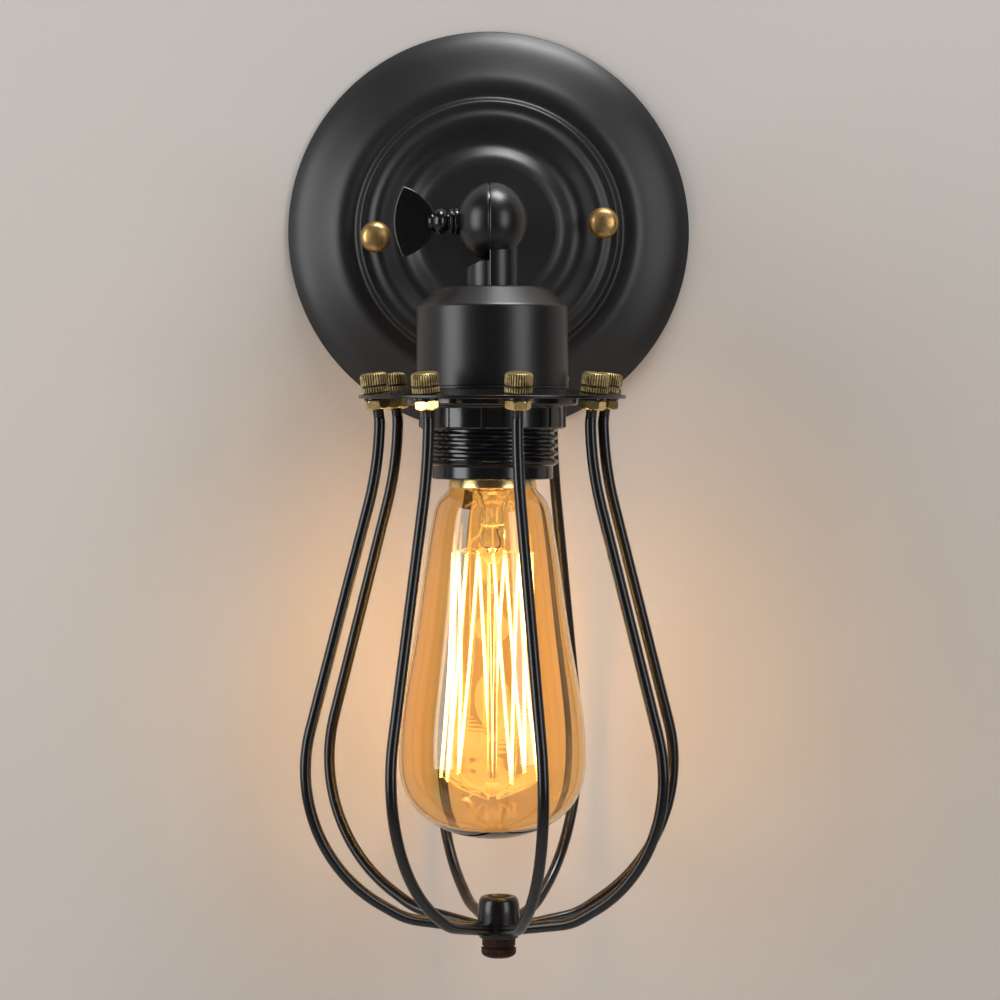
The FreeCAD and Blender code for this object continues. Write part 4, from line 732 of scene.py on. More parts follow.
def swept(path: Array, radius: float | Array, segments: int, hint: Sequence[float],
          wear: Array | None = None) -> Surface:
    """Round bar along a path, with closed ends.

    With t the unit direction at a point P, s the part of the hint square to t made one long, and
    b = t x s, the surface is P + r (s cos a + b sin a).

    Args:
        path: Points of the path, one row each.
        radius: One radius, or one per point.
        segments: Points around the bar.
        hint: A direction that the path never follows.
        wear: Wear per point of the path.

    Returns:
        The surface.
    """
    along = np.gradient(path, axis=0)
    along /= np.linalg.norm(along, axis=1, keepdims=True)
    side = np.asarray(hint, float)[None, :] - along * (along @ np.asarray(hint, float))[:, None]
    side /= np.linalg.norm(side, axis=1, keepdims=True)
    across = np.cross(along, side)
    ends = np.concatenate([[0], np.arange(len(path)), [len(path) - 1]])
    reach = np.full(len(path), 1.0) * radius
    reach = np.concatenate([[0.0], reach, [0.0]])[:, None, None]
    angle = np.linspace(0.0, 2 * np.pi, segments, endpoint=False)[None, :, None]
    circle = np.cos(angle) * side[ends][:, None] + np.sin(angle) * across[ends][:, None]
    points = path[ends][:, None] + reach * circle
    worn = (np.ones(len(path)) if wear is None else wear)[ends][:, None] + np.zeros((1, segments))
    return Surface(points.reshape(-1, 3), grid_faces(len(ends), segments), worn.reshape(-1))


def bent_path(points: Array, bends: Sequence[float], step_degrees: float = 2.5) -> Array:
    """Straight runs joined by tangent arcs.

    At a corner C between the unit directions p (back) and q (ahead), with h half the angle between
    them, the arc of radius R touches the runs at C + p R/tan h and C + q R/tan h and has its middle
    at C + (p+q)/|p+q| R/sin h. Its points turn from the first touching point to the last.

    Args:
        points: Corners, one row each.
        bends: One radius per inner corner.
        step_degrees: Angle between neighbouring points of an arc.

    Returns:
        The path's points, one row each.
    """
    runs = [points[:1]]
    for index, bend in enumerate(bends, start=1):
        corner = points[index]
        back = (points[index - 1] - corner) / np.linalg.norm(points[index - 1] - corner)
        ahead = (points[index + 1] - corner) / np.linalg.norm(points[index + 1] - corner)
        half = math.acos(float(np.clip(back @ ahead, -1, 1))) / 2
        middle = corner + (back + ahead) / np.linalg.norm(back + ahead) * bend / math.sin(half)
        first = corner + back * bend / math.tan(half) - middle
        inward = -back * bend
        sweep = math.pi - 2 * half
        count = max(3, int(math.degrees(sweep) / step_degrees) + 2)
        t = np.linspace(0.0, sweep, count)[:, None]
        runs.append(middle + first * np.cos(t) + inward * np.sin(t))
    runs.append(points[-1:])
    return np.concatenate(runs)


def hexagon_relief(across: float, low: float, high: float, chamfer: float) -> Relief:
    """Relief that makes a disc into a hexagon nut with chamfered ends.

    The flats are at (across/2) / cos(b), where b is the angle from the nearest flat's middle. Near
    the ends the radius is held under across/2 - chamfer/3 + 1.7 d, with d the distance from the end.

    Args:
        across: Width across the flats.
        low: Height of the lower end.
        high: Height of the upper end.
        chamfer: Size of the chamfer.

    Returns:
        The relief.
    """
    def relief(angle: Array, radius: Array, height: Array) -> Offset:
        """Flats and cones on the disc's rim.

        Args:
            angle: Angles, in a row.
            radius: Radii, in a column.
            height: Heights, in a column.

        Returns:
            Radial offsets and wear.
        """
        rim = radius > across * 0.45
        from_flat = (angle + np.pi / 6) % (np.pi / 3) - np.pi / 6
        flats = across / 2 / np.cos(from_flat)
        from_end = np.minimum(height - low, high - height)
        cone = across / 2 - chamfer / 3 + 1.7 * np.maximum(from_end, 0.0)
        return np.where(rim, np.minimum(flats, cone) - radius, 0.0), 1.0 + 0 * angle

    return relief


def knurl_relief(teeth: int, depth: float, rim: float, bands: Sequence[tuple[float, float]]) -> Relief:
    """Relief of straight knurls on bands of a disc's rim.

    The tooth is |sin(teeth a / 2)| raised to 0.7; it fades over 0.25 mm at a band's ends and
    inwards from the rim. The wear is the tooth's height where the band is.

    Args:
        teeth: Number of teeth.
        depth: Depth of the grooves.
        rim: The disc's radius.
        bands: Lower and upper height of each band.

    Returns:
        The relief.
    """
    def relief(angle: Array, radius: Array, height: Array) -> Offset:
        """Grooves between the teeth.

        Args:
            angle: Angles, in a row.
            radius: Radii, in a column.
            height: Heights, in a column.

        Returns:
            Radial offsets and wear.
        """
        tooth = np.abs(np.sin(teeth * angle / 2)) ** 0.7
        share = 0 * height
        for low, high in bands:
            inside = np.minimum(height - low, high - height) / 0.25 + 0.4
            share = np.maximum(share, np.clip(inside, 0, 1))
        share = share * np.clip((radius - rim + 0.9) / 0.6, 0, 1)
        return -depth * (1 - tooth) * share, 1 - (1 - tooth) * share

    return relief


def thread_relief(pitch: float, depth: float, low: float, high: float, rise: float) -> Relief:
    """Relief of a right-hand screw thread cut into a cylinder.

    With f the fraction of (z/pitch + a/turn), the groove is the smooth step of |2f - 1| over the
    share of the pitch that the flanks rise in; it fades over half a pitch at both ends.

    Args:
        pitch: Height of one turn.
        depth: Depth of the groove.
        low: Height where the thread starts.
        high: Height where it ends.
        rise: Share of the pitch that one flank takes.

    Returns:
        The relief.
    """
    def relief(angle: Array, radius: Array, height: Array) -> Offset:
        """The groove's depth and wear.

        Args:
            angle: Angles, in a row.
            radius: Radii, in a column.
            height: Heights, in a column.

        Returns:
            Radial offsets and wear.
        """
        share = (height / pitch + angle / (2 * np.pi)) % 1.0
        flank = np.clip((np.abs(2 * share - 1) - 0.5 + rise / 2) / rise, 0, 1)
        groove = flank * flank * (3 - 2 * flank)
        fade = np.clip(np.minimum(height - low, high - height) / (pitch / 2), 0, 1)
        return -depth * groove * fade, 1 - groove * fade

    return relief


def masked(relief: Relief, inner: float, low: float = -math.inf) -> Relief:
    """Keep a relief off the points inside a radius or under a height.

    Args:
        relief: The relief.
        inner: The radius.
        low: The height.

    Returns:
        The relief that stays.
    """
    def kept(angle: Array, radius: Array, height: Array) -> Offset:
        """The relief where it is kept, and full wear elsewhere.

        Args:
            angle: Angles, in a row.
            radius: Radii, in a column.
            height: Heights, in a column.

        Returns:
            Radial offsets and wear.
        """
        offset, wear = relief(angle, radius, height)
        share = (radius > inner) * (height > low)
        return offset * share, 1 - (1 - wear) * share

    return kept


def slab(outline: Array, levels: Sequence[tuple[float, ...]], middle: Array) -> Surface:
    """Plate in the XZ plane with rounded edges.

    Each level (y, inset, share) is the outline moved in along its own normal by the inset, drawn
    together to the share of its distance from the middle, at depth y.

    Args:
        outline: (x, z) rows that close on themselves.
        levels: (depth, inset, share) rows; the first and the last have a share of 0.
        middle: The (x, z) point that the faces close to.

    Returns:
        The surface.
    """
    step = np.roll(outline, -1, 0) - np.roll(outline, 1, 0)
    normal = np.stack([step[:, 1], -step[:, 0]], axis=1)
    normal /= np.linalg.norm(normal, axis=1, keepdims=True)
    outwards = np.sign(((outline - middle) * normal).sum(axis=1).mean())
    table = np.asarray(levels)
    depth, inset, share = table[:, :1], table[:, 1, None, None], table[:, 2, None, None]
    flat = middle + (outline[None] - outwards * normal[None] * inset - middle) * share
    points = np.stack([flat[..., 0], depth + 0 * flat[..., 0], flat[..., 1]], axis=-1)
    return Surface(points.reshape(-1, 3), grid_faces(len(table), len(outline)))


def in_head(points: Array) -> Array:
    """Points drawn about the knuckle's middle, moved to their place in front of the wall."""
    return points - np.array([0.0, ARM_REACH, 0.0])


def on_wall(points: Array) -> Array:
    """Points drawn standing on the vertical axis, turned so that they stand out from the wall."""
    return turn_about(points, 0, 90.0)


def plate_fall(radius: float) -> float:
    """How far the plate's top lies under its flat middle at a radius."""
    return max(0.0, radius - PLATE_FLAT) * math.tan(math.radians(PLATE_SLOPE))


def on_plate(surface: Surface) -> Surface:
    """Set a surface that stands on the origin square on the plate at each hole.

    Args:
        surface: The surface.

    Returns:
        All copies as one surface.
    """
    lean = turn_about(surface.points, 0, PLATE_SLOPE)
    lean = lean + np.array([0.0, -WIRE_CIRCLE, PLATE_TOP - plate_fall(WIRE_CIRCLE)])
    turns = [WIRE_TURN + 360.0 / WIRE_COUNT * index for index in range(WIRE_COUNT)]
    return joined([Surface(turn_about(lean, 2, turn), surface.faces, surface.wear) for turn in turns])


def shown(name: str, data: bpy.types.ID) -> bpy.types.Object:
    """Put an object into the scene.

    Args:
        name: Its name.
        data: Its mesh, lamp or lens.

    Returns:
        The object.
    """
    thing = bpy.data.objects.new(name, data)
    bpy.context.scene.collection.objects.link(thing)
    return thing


class Bench:
    """Builds each finish once, writes meshes and ties every piece to the frame."""

    def __init__(self) -> None:
        """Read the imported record's slots and bodies."""
        record = frame["record"]
        self.built: dict[str, bpy.types.Material] = {}
        self.slots = {part["node"]: part["material_slot"] for part in record["subparts"]}
        bodies = record["behaviour"]["bodies"]
        self.bodies = {node: body for body, nodes in bodies.items() for node in nodes}

    def material(self, finish: object) -> bpy.types.Material:
        """The material of a finish.

        Args:
            finish: One of the finish dataclasses.

        Returns:
            The built material.
        """
        if finish.name not in self.built:
            self.built[finish.name] = finish.build()
        return self.built[finish.name]

    def dress(self, node: str, finish: object | None = None) -> None:
        """Give a frame node a finish.

        Args:
            node: The node.
            finish: Its finish, or none for the slot's own.
        """
        mesh = frame["nodes"][node].data
        mesh.materials.clear()
        mesh.materials.append(self.material(finish or Slot[self.slots[node]].value))
        log.info("%s: dressed", node)

    def mesh(self, name: str, surface: Surface, crease: float) -> bpy.types.Mesh:
        """Write a mesh with welded seams and poles and faces that look outwards.

        The sign of the volume, the sum of a . (b x c) / 6 over the triangles, tells the facing.

        Args:
            name: The mesh's name.
            surface: Its points and faces.
            crease: Degrees over which an edge stays sharp.

        Returns:
            The mesh.
        """
        mesh = bpy.data.meshes.new(name)
        mesh.from_pydata((surface.points * MM).tolist(), [], surface.faces.tolist())
        if surface.wear is not None:
            wear = mesh.attributes.new("wear", "FLOAT", "POINT")
            wear.data.foreach_set("value", surface.wear.astype(np.float32))
        work = bmesh.new()
        work.from_mesh(mesh)
        bmesh.ops.remove_doubles(work, verts=work.verts, dist=2e-6)
        bmesh.ops.recalc_face_normals(work, faces=work.faces)
        if work.calc_volume(signed=True) < 0:
            bmesh.ops.reverse_faces(work, faces=work.faces)
        work.to_mesh(mesh)
        work.free()
        mesh.shade_smooth()
        mesh.set_sharp_from_angle(angle=math.radians(crease))
        return mesh

    def piece(self, node: str, surface: Surface, finish: object | None = None, crease: float = 35.0,
              bending: tuple[str, str, Array, Array] | None = None) -> bpy.types.Object:
        """Put a piece in a frame node's place.

        Args:
            node: The node that it replaces.
            surface: The piece's surface in the row's frame, in millimetres.
            finish: Its finish, or none for the slot's own.
            crease: Degrees over which an edge stays sharp.
            bending: Two bodies and two points in millimetres, for a piece that crosses from one body to
                the other; when given, the piece is only fixed where it stands and tied to no body, and
                the bodies and points are not used.

        Returns:
            The piece.
        """
        mesh = self.mesh(node + "_look", surface, crease)
        mesh.materials.append(self.material(finish or Slot[self.slots[node]].value))
        piece = shown(node + "_look", mesh)
        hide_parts(node)
        if bending:
            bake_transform(piece)
        else:
            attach(piece, self.bodies[node])
        log.info("%s: %d faces", node, len(mesh.polygons))
        return piece


# ------------------------------------------------------------------ canopy and arm
@dataclass
class Canopy:
    """Pressed canopy, its two dome nuts and the arm's sleeve."""

    radius: float = 66.0
    sheet: float = 1.0
    hem: float = 1.2            # width of the rolled rim
    face: float = 21.5          # radius of the flat face in the middle
    depth: float = 15.0         # how far the face stands out from the wall
    bore: float = 5.3
    stud_place: float = 37.1    # from the middle to a dome nut
    nut_radius: float = 5.1
    nut_seat: float = 13.75
    sleeve_radius: float = 6.5
    sleeve_bore: float = 5.35
    sleeve_end: float = 45.4

    def front(self) -> Array:
        """Draw the sheet's front beyond the flat face: a valley, a bulge, a ridge and the rim's slope.

        Returns:
            (radius, depth) rows.
        """
        knots = [(self.face, self.depth), (self.face + 2.2, self.depth - 0.5), (27.5, 12.0),
                 (30.5, 11.4), (34.1, 12.9), (37.1, 13.6), (40.3, 12.6), (41.9, 12.8), (43.4, 10.4),
                 (46.6, 10.5), (51.6, 9.2), (57.5, 6.6), (63.2, 3.5), (self.radius, self.sheet)]
        return smooth_line(knots, 150)

    def shell(self) -> Surface:
        """The sheet with its hollow open to the wall and a rolled rim.

        Returns:
            The sheet.
        """
        front = self.front()
        face = np.array([(self.bore, self.depth - 0.2), (self.bore + 0.2, self.depth)])
        rim = rounded([(self.radius, self.sheet, 0), (self.radius, 0.0, 0.35),
                       (self.radius - self.hem, 0.0, 0.2), (self.radius - self.hem, 0.5, 0)])
        back = front[:-4] - np.array([0.0, self.sheet])
        inside = np.array([(self.bore, self.depth - self.sheet)])
        outline = np.concatenate([face, front, rim[1:], back[::-1], inside])
        return turned(refined(outline, 4.0), 200, ring=True).placed(on_wall)

    def dome_nuts(self) -> Surface:
        """Two dome nuts with a thin flange, a turned groove and a small flat on top.

        Returns:
            Both nuts.
        """
        rim = self.nut_radius
        outline = [(0, 0, 0), (rim - 0.2, 0, 0.1), (rim, 0.2, 0.15), (rim, 0.75, 0.2),
                           (rim - 0.45, 0.95, 0.15), (rim - 0.45, 1.25, 0.15), (rim - 0.05, 1.5, 0.3),
                           (rim - 0.1, 2.6, 1.0), (rim - 1.3, 4.35, 1.6), (1.3, 5.15, 1.2), (0, 5.2, 0)]

        def relief(angle: Array, radius: Array, height: Array) -> Offset:
            """Grooves keep their dirt; the dome carries faint turning rings."""
            dirt = np.exp(-((height - 1.1) / 0.28) ** 2) + 0.7 * np.exp(-(height / 0.3) ** 2)
            return 0.012 * np.sin(height * 21.0) * (height > 2.0), 1 - np.clip(dirt, 0, 1)

        nut = lathe(outline, 64, 0.25, relief).moved(0.0, 0.0, self.nut_seat)
        both = joined([nut.moved(side * self.stud_place, 0.0, 0.0) for side in (-1.0, 1.0)])
        return both.placed(on_wall).placed(lambda points: turn_about(points, 1, -STUD_TURN))

    def sleeve(self) -> Surface:
        """Round sleeve between the canopy and the knuckle, with a turned bead near each end.

        Returns:
            The sleeve.
        """
        outer, start, end = self.sleeve_radius, self.depth + 0.02, self.sleeve_end
        outline = [(self.sleeve_bore, start, 0), (outer - 0.3, start, 0.1), (outer, start + 0.3, 0.1),
                           (outer, start + 1.6, 0.1), (outer - 0.3, start + 1.8, 0.1),
                           (outer - 0.3, start + 2.3, 0.1), (outer, start + 2.5, 0.1),
                           (outer, end - 0.3, 0.1), (outer - 0.3, end, 0.1),
                           (self.sleeve_bore, end, 0)]
        return lathe(outline, 72, 2.0, ring=True).placed(on_wall)

    def build(self, bench: Bench) -> None:
        """Make the pieces.

        Args:
            bench: Where the pieces are finished.
        """
        bench.piece("canopy", self.shell(), crease=50.0)
        bench.piece("cap_nuts", self.dome_nuts(), Variant.dome_brass.value)
        bench.piece("arm_sleeve", self.sleeve())


@dataclass
class Knuckle:
    """Ball knuckle with its clamp screw."""

    collar_face: float = -10.17     # place along the screw's axis, from the ball's middle
    collar_radius: float = 4.35
    collar_length: float = 3.0
    bead_radius: float = 4.15
    bead_length: float = 5.9
    screw_radius: float = 2.45
    screw_end: float = 7.7
    screw_pitch: float = 0.8
    wing_height: float = 22.4
    wing_reach: float = 11.6
    wing_thickness: float = 2.2
    waist: float = 5.4              # the wing's least height, beside the bead

    def screw(self) -> Surface:
        """Shank, collar of two discs, bead and neck, turned about the screw's own axis.

        Heights run from the wing to the shank's end.

        Returns:
            The screw without its wing.
        """
        face, collar, bead = self.collar_face, self.collar_radius, self.bead_radius
        start = face - self.collar_length
        end = start - self.bead_length
        middle = (start + end) / 2
        outline = [
            (0, end - 0.9, 0), (2.2, end - 0.9, 0.5), (2.75, end + 0.3, 0.3), (2.6, end + 0.9, 0.3),
            (bead * 0.8, end + 1.1, 0.7), (bead, middle - 0.5, 1.6), (bead, middle + 0.5, 1.6),
            (bead * 0.8, start - 1.0, 0.7), (2.75, start - 0.7, 0.2), (2.75, start - 0.25, 0.1),
            (collar - 0.5, start - 0.02, 0.3), (collar - 0.15, start + 0.3, 0.25),
            (collar - 0.15, start + 0.9, 0.25), (collar - 0.8, start + 1.15, 0.15),
            (collar - 0.8, start + 1.4, 0.15), (collar, start + 1.65, 0.25),
            (collar, start + 2.5, 0.25), (collar - 0.3, face, 0.1),
            (self.screw_radius, face, 0.1), (self.screw_radius, self.screw_end - 0.5, 0.1),
            (self.screw_radius - 0.5, self.screw_end, 0.1), (0, self.screw_end, 0)]

        thread = thread_relief(self.screw_pitch, 0.35, face + 4.0, self.screw_end - 0.6, 0.5)
        shank = masked(thread, self.screw_radius - 0.2, face + 3.0)
        return lathe(outline, 56, 0.22, shank).placed(lambda points: turn_about(points, 1, 90.0))

    def wing_line(self) -> Array:
        """Edge of the wing as (x, z) rows: a waist, two swept flanks and a bowed outer edge.

        Returns:
            The edge's points.
        """
        bead_end = self.collar_face - self.collar_length - self.bead_length
        outer, half = bead_end - self.wing_reach, self.wing_height / 2
        waist, tip = (bead_end + 1.5, self.waist / 2), (outer + 3.0, half)
        flank = (bead_end - 2.2, half * 0.66)
        near = ((waist[0] + flank[0]) / 2 + 0.15, (waist[1] + flank[1]) / 2 + 0.35)
        far = ((flank[0] + tip[0]) / 2 + 0.2, (flank[1] + tip[1]) / 2 + 0.45)
        upper = smooth_line([waist, near, flank, far, tip], 28)
        bow = np.linspace(1.0, -1.0, 41)[1:-1]
        edge = np.stack([outer + 3.0 * bow ** 2, half * bow], axis=1)
        lower = upper[::-1] * np.array([1.0, -1.0])
        return np.concatenate([upper, edge, lower])

    def wing(self) -> Surface:
        """Flat wing with rounded edges and a shallow hollow on both faces.

        Returns:
            The wing.
        """
        half = self.wing_thickness / 2
        side = np.array([(0.76, 0.7, 0.0), (0.76, 0.7, 0.45), (0.82, 0.7, 0.78), (1.0, 0.7, 1.0),
                         (0.93, 0.42, 1.0), (0.72, 0.18, 1.0), (0.4, 0.04, 1.0)])
        levels = np.concatenate([side * [-half, 1, 1], side[::-1] * [half, 1, 1]])
        line = self.wing_line()
        return slab(line, levels, np.array([line[:, 0].mean() - 1.0, 0.0]))

    def build(self, bench: Bench) -> None:
        """Make the pieces and dress the two halves of the ball.

        Args:
            bench: Where the pieces are finished.
        """
        gloss = Variant.gloss_enamel.value
        screw = joined([self.screw(), self.wing()])
        bench.piece("wing_screw", screw.placed(in_head), gloss)
        for node in ("knuckle_arm_half", "knuckle_stem_half"):
            bench.dress(node, Variant.ball_enamel.value)


# ------------------------------------------------------------------ holder
@dataclass
class Holder:
    """Socket cup, threaded lampholder skirt and its ribbed ring."""

    cup_bottom: float = PLATE_TOP
    cup_wall: float = 1.2
    cup_hole: float = 5.3
    thread_radius: float = 20.5
    thread_depth: float = 1.4
    thread_pitch: float = 2.5
    lip_radius: float = 18.8
    lip: float = 4.0
    skirt_top: float = -45.55
    seat: float = -53.05            # ledge that the ceramic insert stands on
    seat_radius: float = 15.8
    bore: float = 15.0
    bore_top: float = -60.0
    ring_radius: float = 22.4
    flange_radius: float = 26.5
    flange: float = 3.9
    ring: float = 7.3
    ribs: int = 12
    rib_width: float = 1.3
    rib_height: float = 0.5
    rib_turn: float = 22.0

    def cup(self) -> Surface:
        """Cup with a flat top, a conical shoulder and a fine turned line above its lower edge.

        Returns:
            The cup.
        """
        top, low, outer, wall = -CUP_TOP, self.cup_bottom, CUP_RADIUS, self.cup_wall
        outline = [
            (self.cup_hole, top, 0), (outer - 7.0, top, 0.7), (outer - 0.3, top - 5.75, 0.6),
            (outer, top - 6.3, 0.5),
            (outer, low + 1.1, 0.1), (outer - 0.12, low + 1.0, 0.05), (outer - 0.12, low + 0.85, 0.05),
            (outer, low + 0.75, 0.1), (outer, low + 0.02, 0.15), (outer - wall, low + 0.02, 0.15),
            (outer - wall, top - 6.6, 1.2), (outer - 7.5, top - wall, 0.6),
            (self.cup_hole, top - wall, 0)]
        return lathe(outline, 144, 2.0, ring=True)

    def skirt(self) -> Surface:
        """Lampholder's outer shell with its coarse screw thread and a smooth lip.

        Returns:
            The skirt.
        """
        low, crest = HOLDER_BOTTOM, self.thread_radius
        start, top = low + self.lip, self.skirt_top
        root = crest - self.thread_depth
        outline = [
            (self.bore, low + 0.3, 0), (self.bore + 0.3, low, 0.2), (self.lip_radius, low, 0.6),
            (self.lip_radius, start - 0.1, 0.2), (root, start, 0.1), (crest, start + 0.9, 0.2),
            (crest, top, 0.1), (self.seat_radius, top, 0.1), (self.seat_radius, self.seat, 0.1),
            (self.bore, self.seat, 0.1), (self.bore, self.bore_top, 0)]
        thread = thread_relief(self.thread_pitch, self.thread_depth, start + 0.4, top + 2.0, 0.55)
        return lathe(outline, 120, 0.22, masked(thread, crest - 0.3), ring=True)

    def retaining_ring(self) -> Surface:
        """Flanged ring with narrow raised ribs around its body.

        Returns:
            The ring.
        """
        top = PLATE_TOP - PLATE_THICKNESS - GAP
        under, low = top - self.flange, top - self.flange - self.ring
        flange, body, bore = self.flange_radius, self.ring_radius, self.thread_radius + GAP
        outline = [
            (bore, top, 0), (flange - 0.4, top, 0.15), (flange, top - 0.4, 0.2),
            (flange, under + 0.5, 0.3),
            (flange - 0.5, under, 0.3), (body + 0.6, under, 0.4), (body, under - 0.6, 0.4),
            (body, low + 0.6, 0.2), (body - 0.5, low, 0.3), (bore + 0.3, low, 0.1),
            (bore, low + 0.3, 0)]

        def relief(angle: Array, radius: Array, height: Array) -> Offset:
            """Ribs: a smooth step over 0.3 mm at each side of every rib.

            Args:
                angle: Angles, in a row.
                radius: Radii, in a column.
                height: Heights, in a column.

            Returns:
                Radial offsets and wear.
            """
            turn = 2 * np.pi / self.ribs
            away = np.abs((angle - math.radians(self.rib_turn) + turn / 2) % turn - turn / 2) * body
            share = np.clip((self.rib_width / 2 + 0.1 - away) / 0.3, 0, 1)
            share = share * (radius > body - 0.3) * (radius < body + 0.5) * (height < under - 0.2)
            ends = np.clip((height - low - 0.2) / 0.4, 0, 1)
            return self.rib_height * share * ends, 1.0 + 0 * share

        return lathe(outline, 720, 0.7, relief, ring=True)

    def build(self, bench: Bench) -> None:
        """Make the pieces.

        Args:
            bench: Where the pieces are finished.
        """
        bench.piece("socket_cup", self.cup().placed(in_head), Variant.cup_enamel.value)
        bench.piece("lampholder_skirt", self.skirt().placed(in_head))
        bench.piece("retaining_ring", self.retaining_ring().placed(in_head), crease=45.0)


# ------------------------------------------------------------------ cage
@dataclass
class Cage:
    """Plate, eight bent wires with their nuts, and the hub with its screw."""

    plate_bore: float = 20.8
    wire_radius: float = 1.75
    thread_end: float = 13.2        # along the wire, from its top
    thread_pitch: float = 0.7
    twist: float = 4.0              # degrees, the bow leans round the lamp's axis
    drop_circle: float = 36.0
    wire_top: float = 5.0           # above the plate
    drop_start: float = 9.0         # below the plate's top, as the next two
    slant_start: float = 24.6
    belly_drop: float = 139.7
    belly_out: float = 31.2         # beyond the drop circle
    floor_in: float = 8.2           # within the drop circle
    bends: tuple[float, ...] = (16.0, 103.0, 48.5, 23.0)
    nut_teeth: int = 32
    nut_radius: float = 4.3
    nut_height: float = 6.4
    hex_across: float = 7.0
    hex_height: float = 3.0
    washer_radius: float = 3.8
    washer: float = 0.8
    hub_radius: float = 6.5
    hub_bore: float = 3.25
    hub_above: float = 10.9
    hub_below: float = 2.0
    head_teeth: int = 40
    head_radius: float = 5.4
    head_height: float = 6.2
    shank_radius: float = 3.15
    shank_length: float = 5.95

    def plate(self) -> Surface:
        """Plate with a flat middle and a rim that falls outwards, with a soft edge.

        Returns:
            The plate.
        """
        bore, outer, fall = self.plate_bore, PLATE_RADIUS, plate_fall(PLATE_RADIUS)
        top, low = PLATE_TOP, PLATE_TOP - PLATE_THICKNESS
        outline = [
            (bore, top, 0), (PLATE_FLAT, top, 1.2), (outer, top - fall, 0.3),
            (outer - 0.15, top - fall - 1.08, 0.3), (PLATE_FLAT - 0.08, low, 1.2), (bore, low, 0)]
        return lathe(outline, 160, 1.5, ring=True)

    def knurled_nuts(self) -> Surface:
        """Thumb nuts with two knurled bands, a groove and a chamfered, slightly domed top.

        Returns:
            All eight nuts.
        """
        rim, high = self.nut_radius, self.nut_height + GAP
        outline = [
            (0, GAP, 0), (rim - 0.3, GAP, 0.1), (rim, 0.3, 0.1), (rim, 1.8, 0.1),
            (rim - 0.7, 1.95, 0.1), (rim - 0.7, 2.4, 0.1), (rim, 2.55, 0.1), (rim, high - 1.0, 0.3),
            (rim - 0.55, high - 0.35, 0.3),
            (rim - 1.3, high - 0.1, 0.4), (0, high, 0)]
        teeth = knurl_relief(self.nut_teeth, 0.42, rim, [(0.15, 1.85), (2.5, high - 0.45)])

        def dirt(radius: Array, height: Array) -> Array:
            """Where dirt is kept."""
            return np.clip((np.abs(height - 2.17) < 0.3) * (radius < rim - 0.2) + (height < 0.2), 0, 1)

        def relief(angle: Array, radius: Array, height: Array) -> Offset:
            """Knurls, with dirt in the groove between the bands and at the foot."""
            offset, wear = teeth(angle, radius, height)
            return offset, wear * (1 - 0.9 * dirt(radius, height))

        return on_plate(lathe(outline, self.nut_teeth * 7, 0.3, relief))

    def washers(self) -> Surface:
        """Flat washers under the plate.

        Returns:
            All eight washers.
        """
        top, outer, bore = -PLATE_THICKNESS - GAP, self.washer_radius, self.wire_radius + GAP
        low = top - self.washer + GAP
        outline = rounded([(bore, top, 0), (outer - 0.1, top, 0.05), (outer, top - 0.1, 0.05),
                           (outer, low + 0.1, 0.05), (outer - 0.1, low, 0.05), (bore, low, 0)])
        return on_plate(turned(outline, 48, ring=True))

    def hexagons(self) -> Surface:
        """Hexagon nuts with chamfered corners and a countersunk bore.

        Returns:
            All eight nuts.
        """
        high = -PLATE_THICKNESS - self.washer - GAP
        low, bore = high - self.hex_height, self.wire_radius + GAP
        reach = self.hex_across / 2 * 1.155     # to a corner
        outline = [(bore, high - 0.3, 0), (bore + 0.3, high, 0), (reach * 0.85, high, 0.0),
                           (reach, high, 0.0), (reach, low, 0.0), (reach * 0.85, low, 0.0),
                           (bore + 0.3, low, 0), (bore, low + 0.3, 0)]
        relief = hexagon_relief(self.hex_across, low, high, 0.6)
        return on_plate(lathe(outline, 96, 0.2, relief, ring=True))

    def wire_path(self, index: int) -> Array:
        """Middle line of one wire, from its threaded top to its socket in the hub.

        Args:
            index: The wire's number, from 0.

        Returns:
            The line's points, one row each.
        """
        turn = WIRE_TURN + 360.0 / WIRE_COUNT * index
        slope = math.radians(PLATE_SLOPE)

        def radial(radius: float, degrees: float, height: float) -> Array:
            """Point at a radius, an angle from the viewer's side and a height."""
            angle = math.radians(degrees)
            return np.array([radius * math.sin(angle), -radius * math.cos(angle), height])

        def on_hole(height: float) -> Array:
            """Point on the hole's axis."""
            top = PLATE_TOP - plate_fall(WIRE_CIRCLE)
            return radial(WIRE_CIRCLE + height * math.sin(slope), turn, top + height * math.cos(slope))

        middle = np.array([HUB_SHIFT, 0.0, 0.0])
        bow = radial(self.drop_circle, turn + self.twist, 0.0)
        reach = np.linalg.norm(bow - middle)
        out = (bow - middle) / reach
        up = np.array([0.0, 0.0, 1.0])
        hub = middle + up * FLOOR_LEVEL
        run = out + up * math.tan(math.radians(FLOOR_SLOPE))
        corners = np.array([
            on_hole(self.wire_top), on_hole(-self.drop_start),
            radial(self.drop_circle, turn, PLATE_TOP - self.slant_start),
            bow + out * self.belly_out + up * (PLATE_TOP - self.belly_drop),
            hub + run * (reach - self.floor_in), hub + run * (self.hub_radius - 1.35)])
        return bent_path(corners, self.bends)

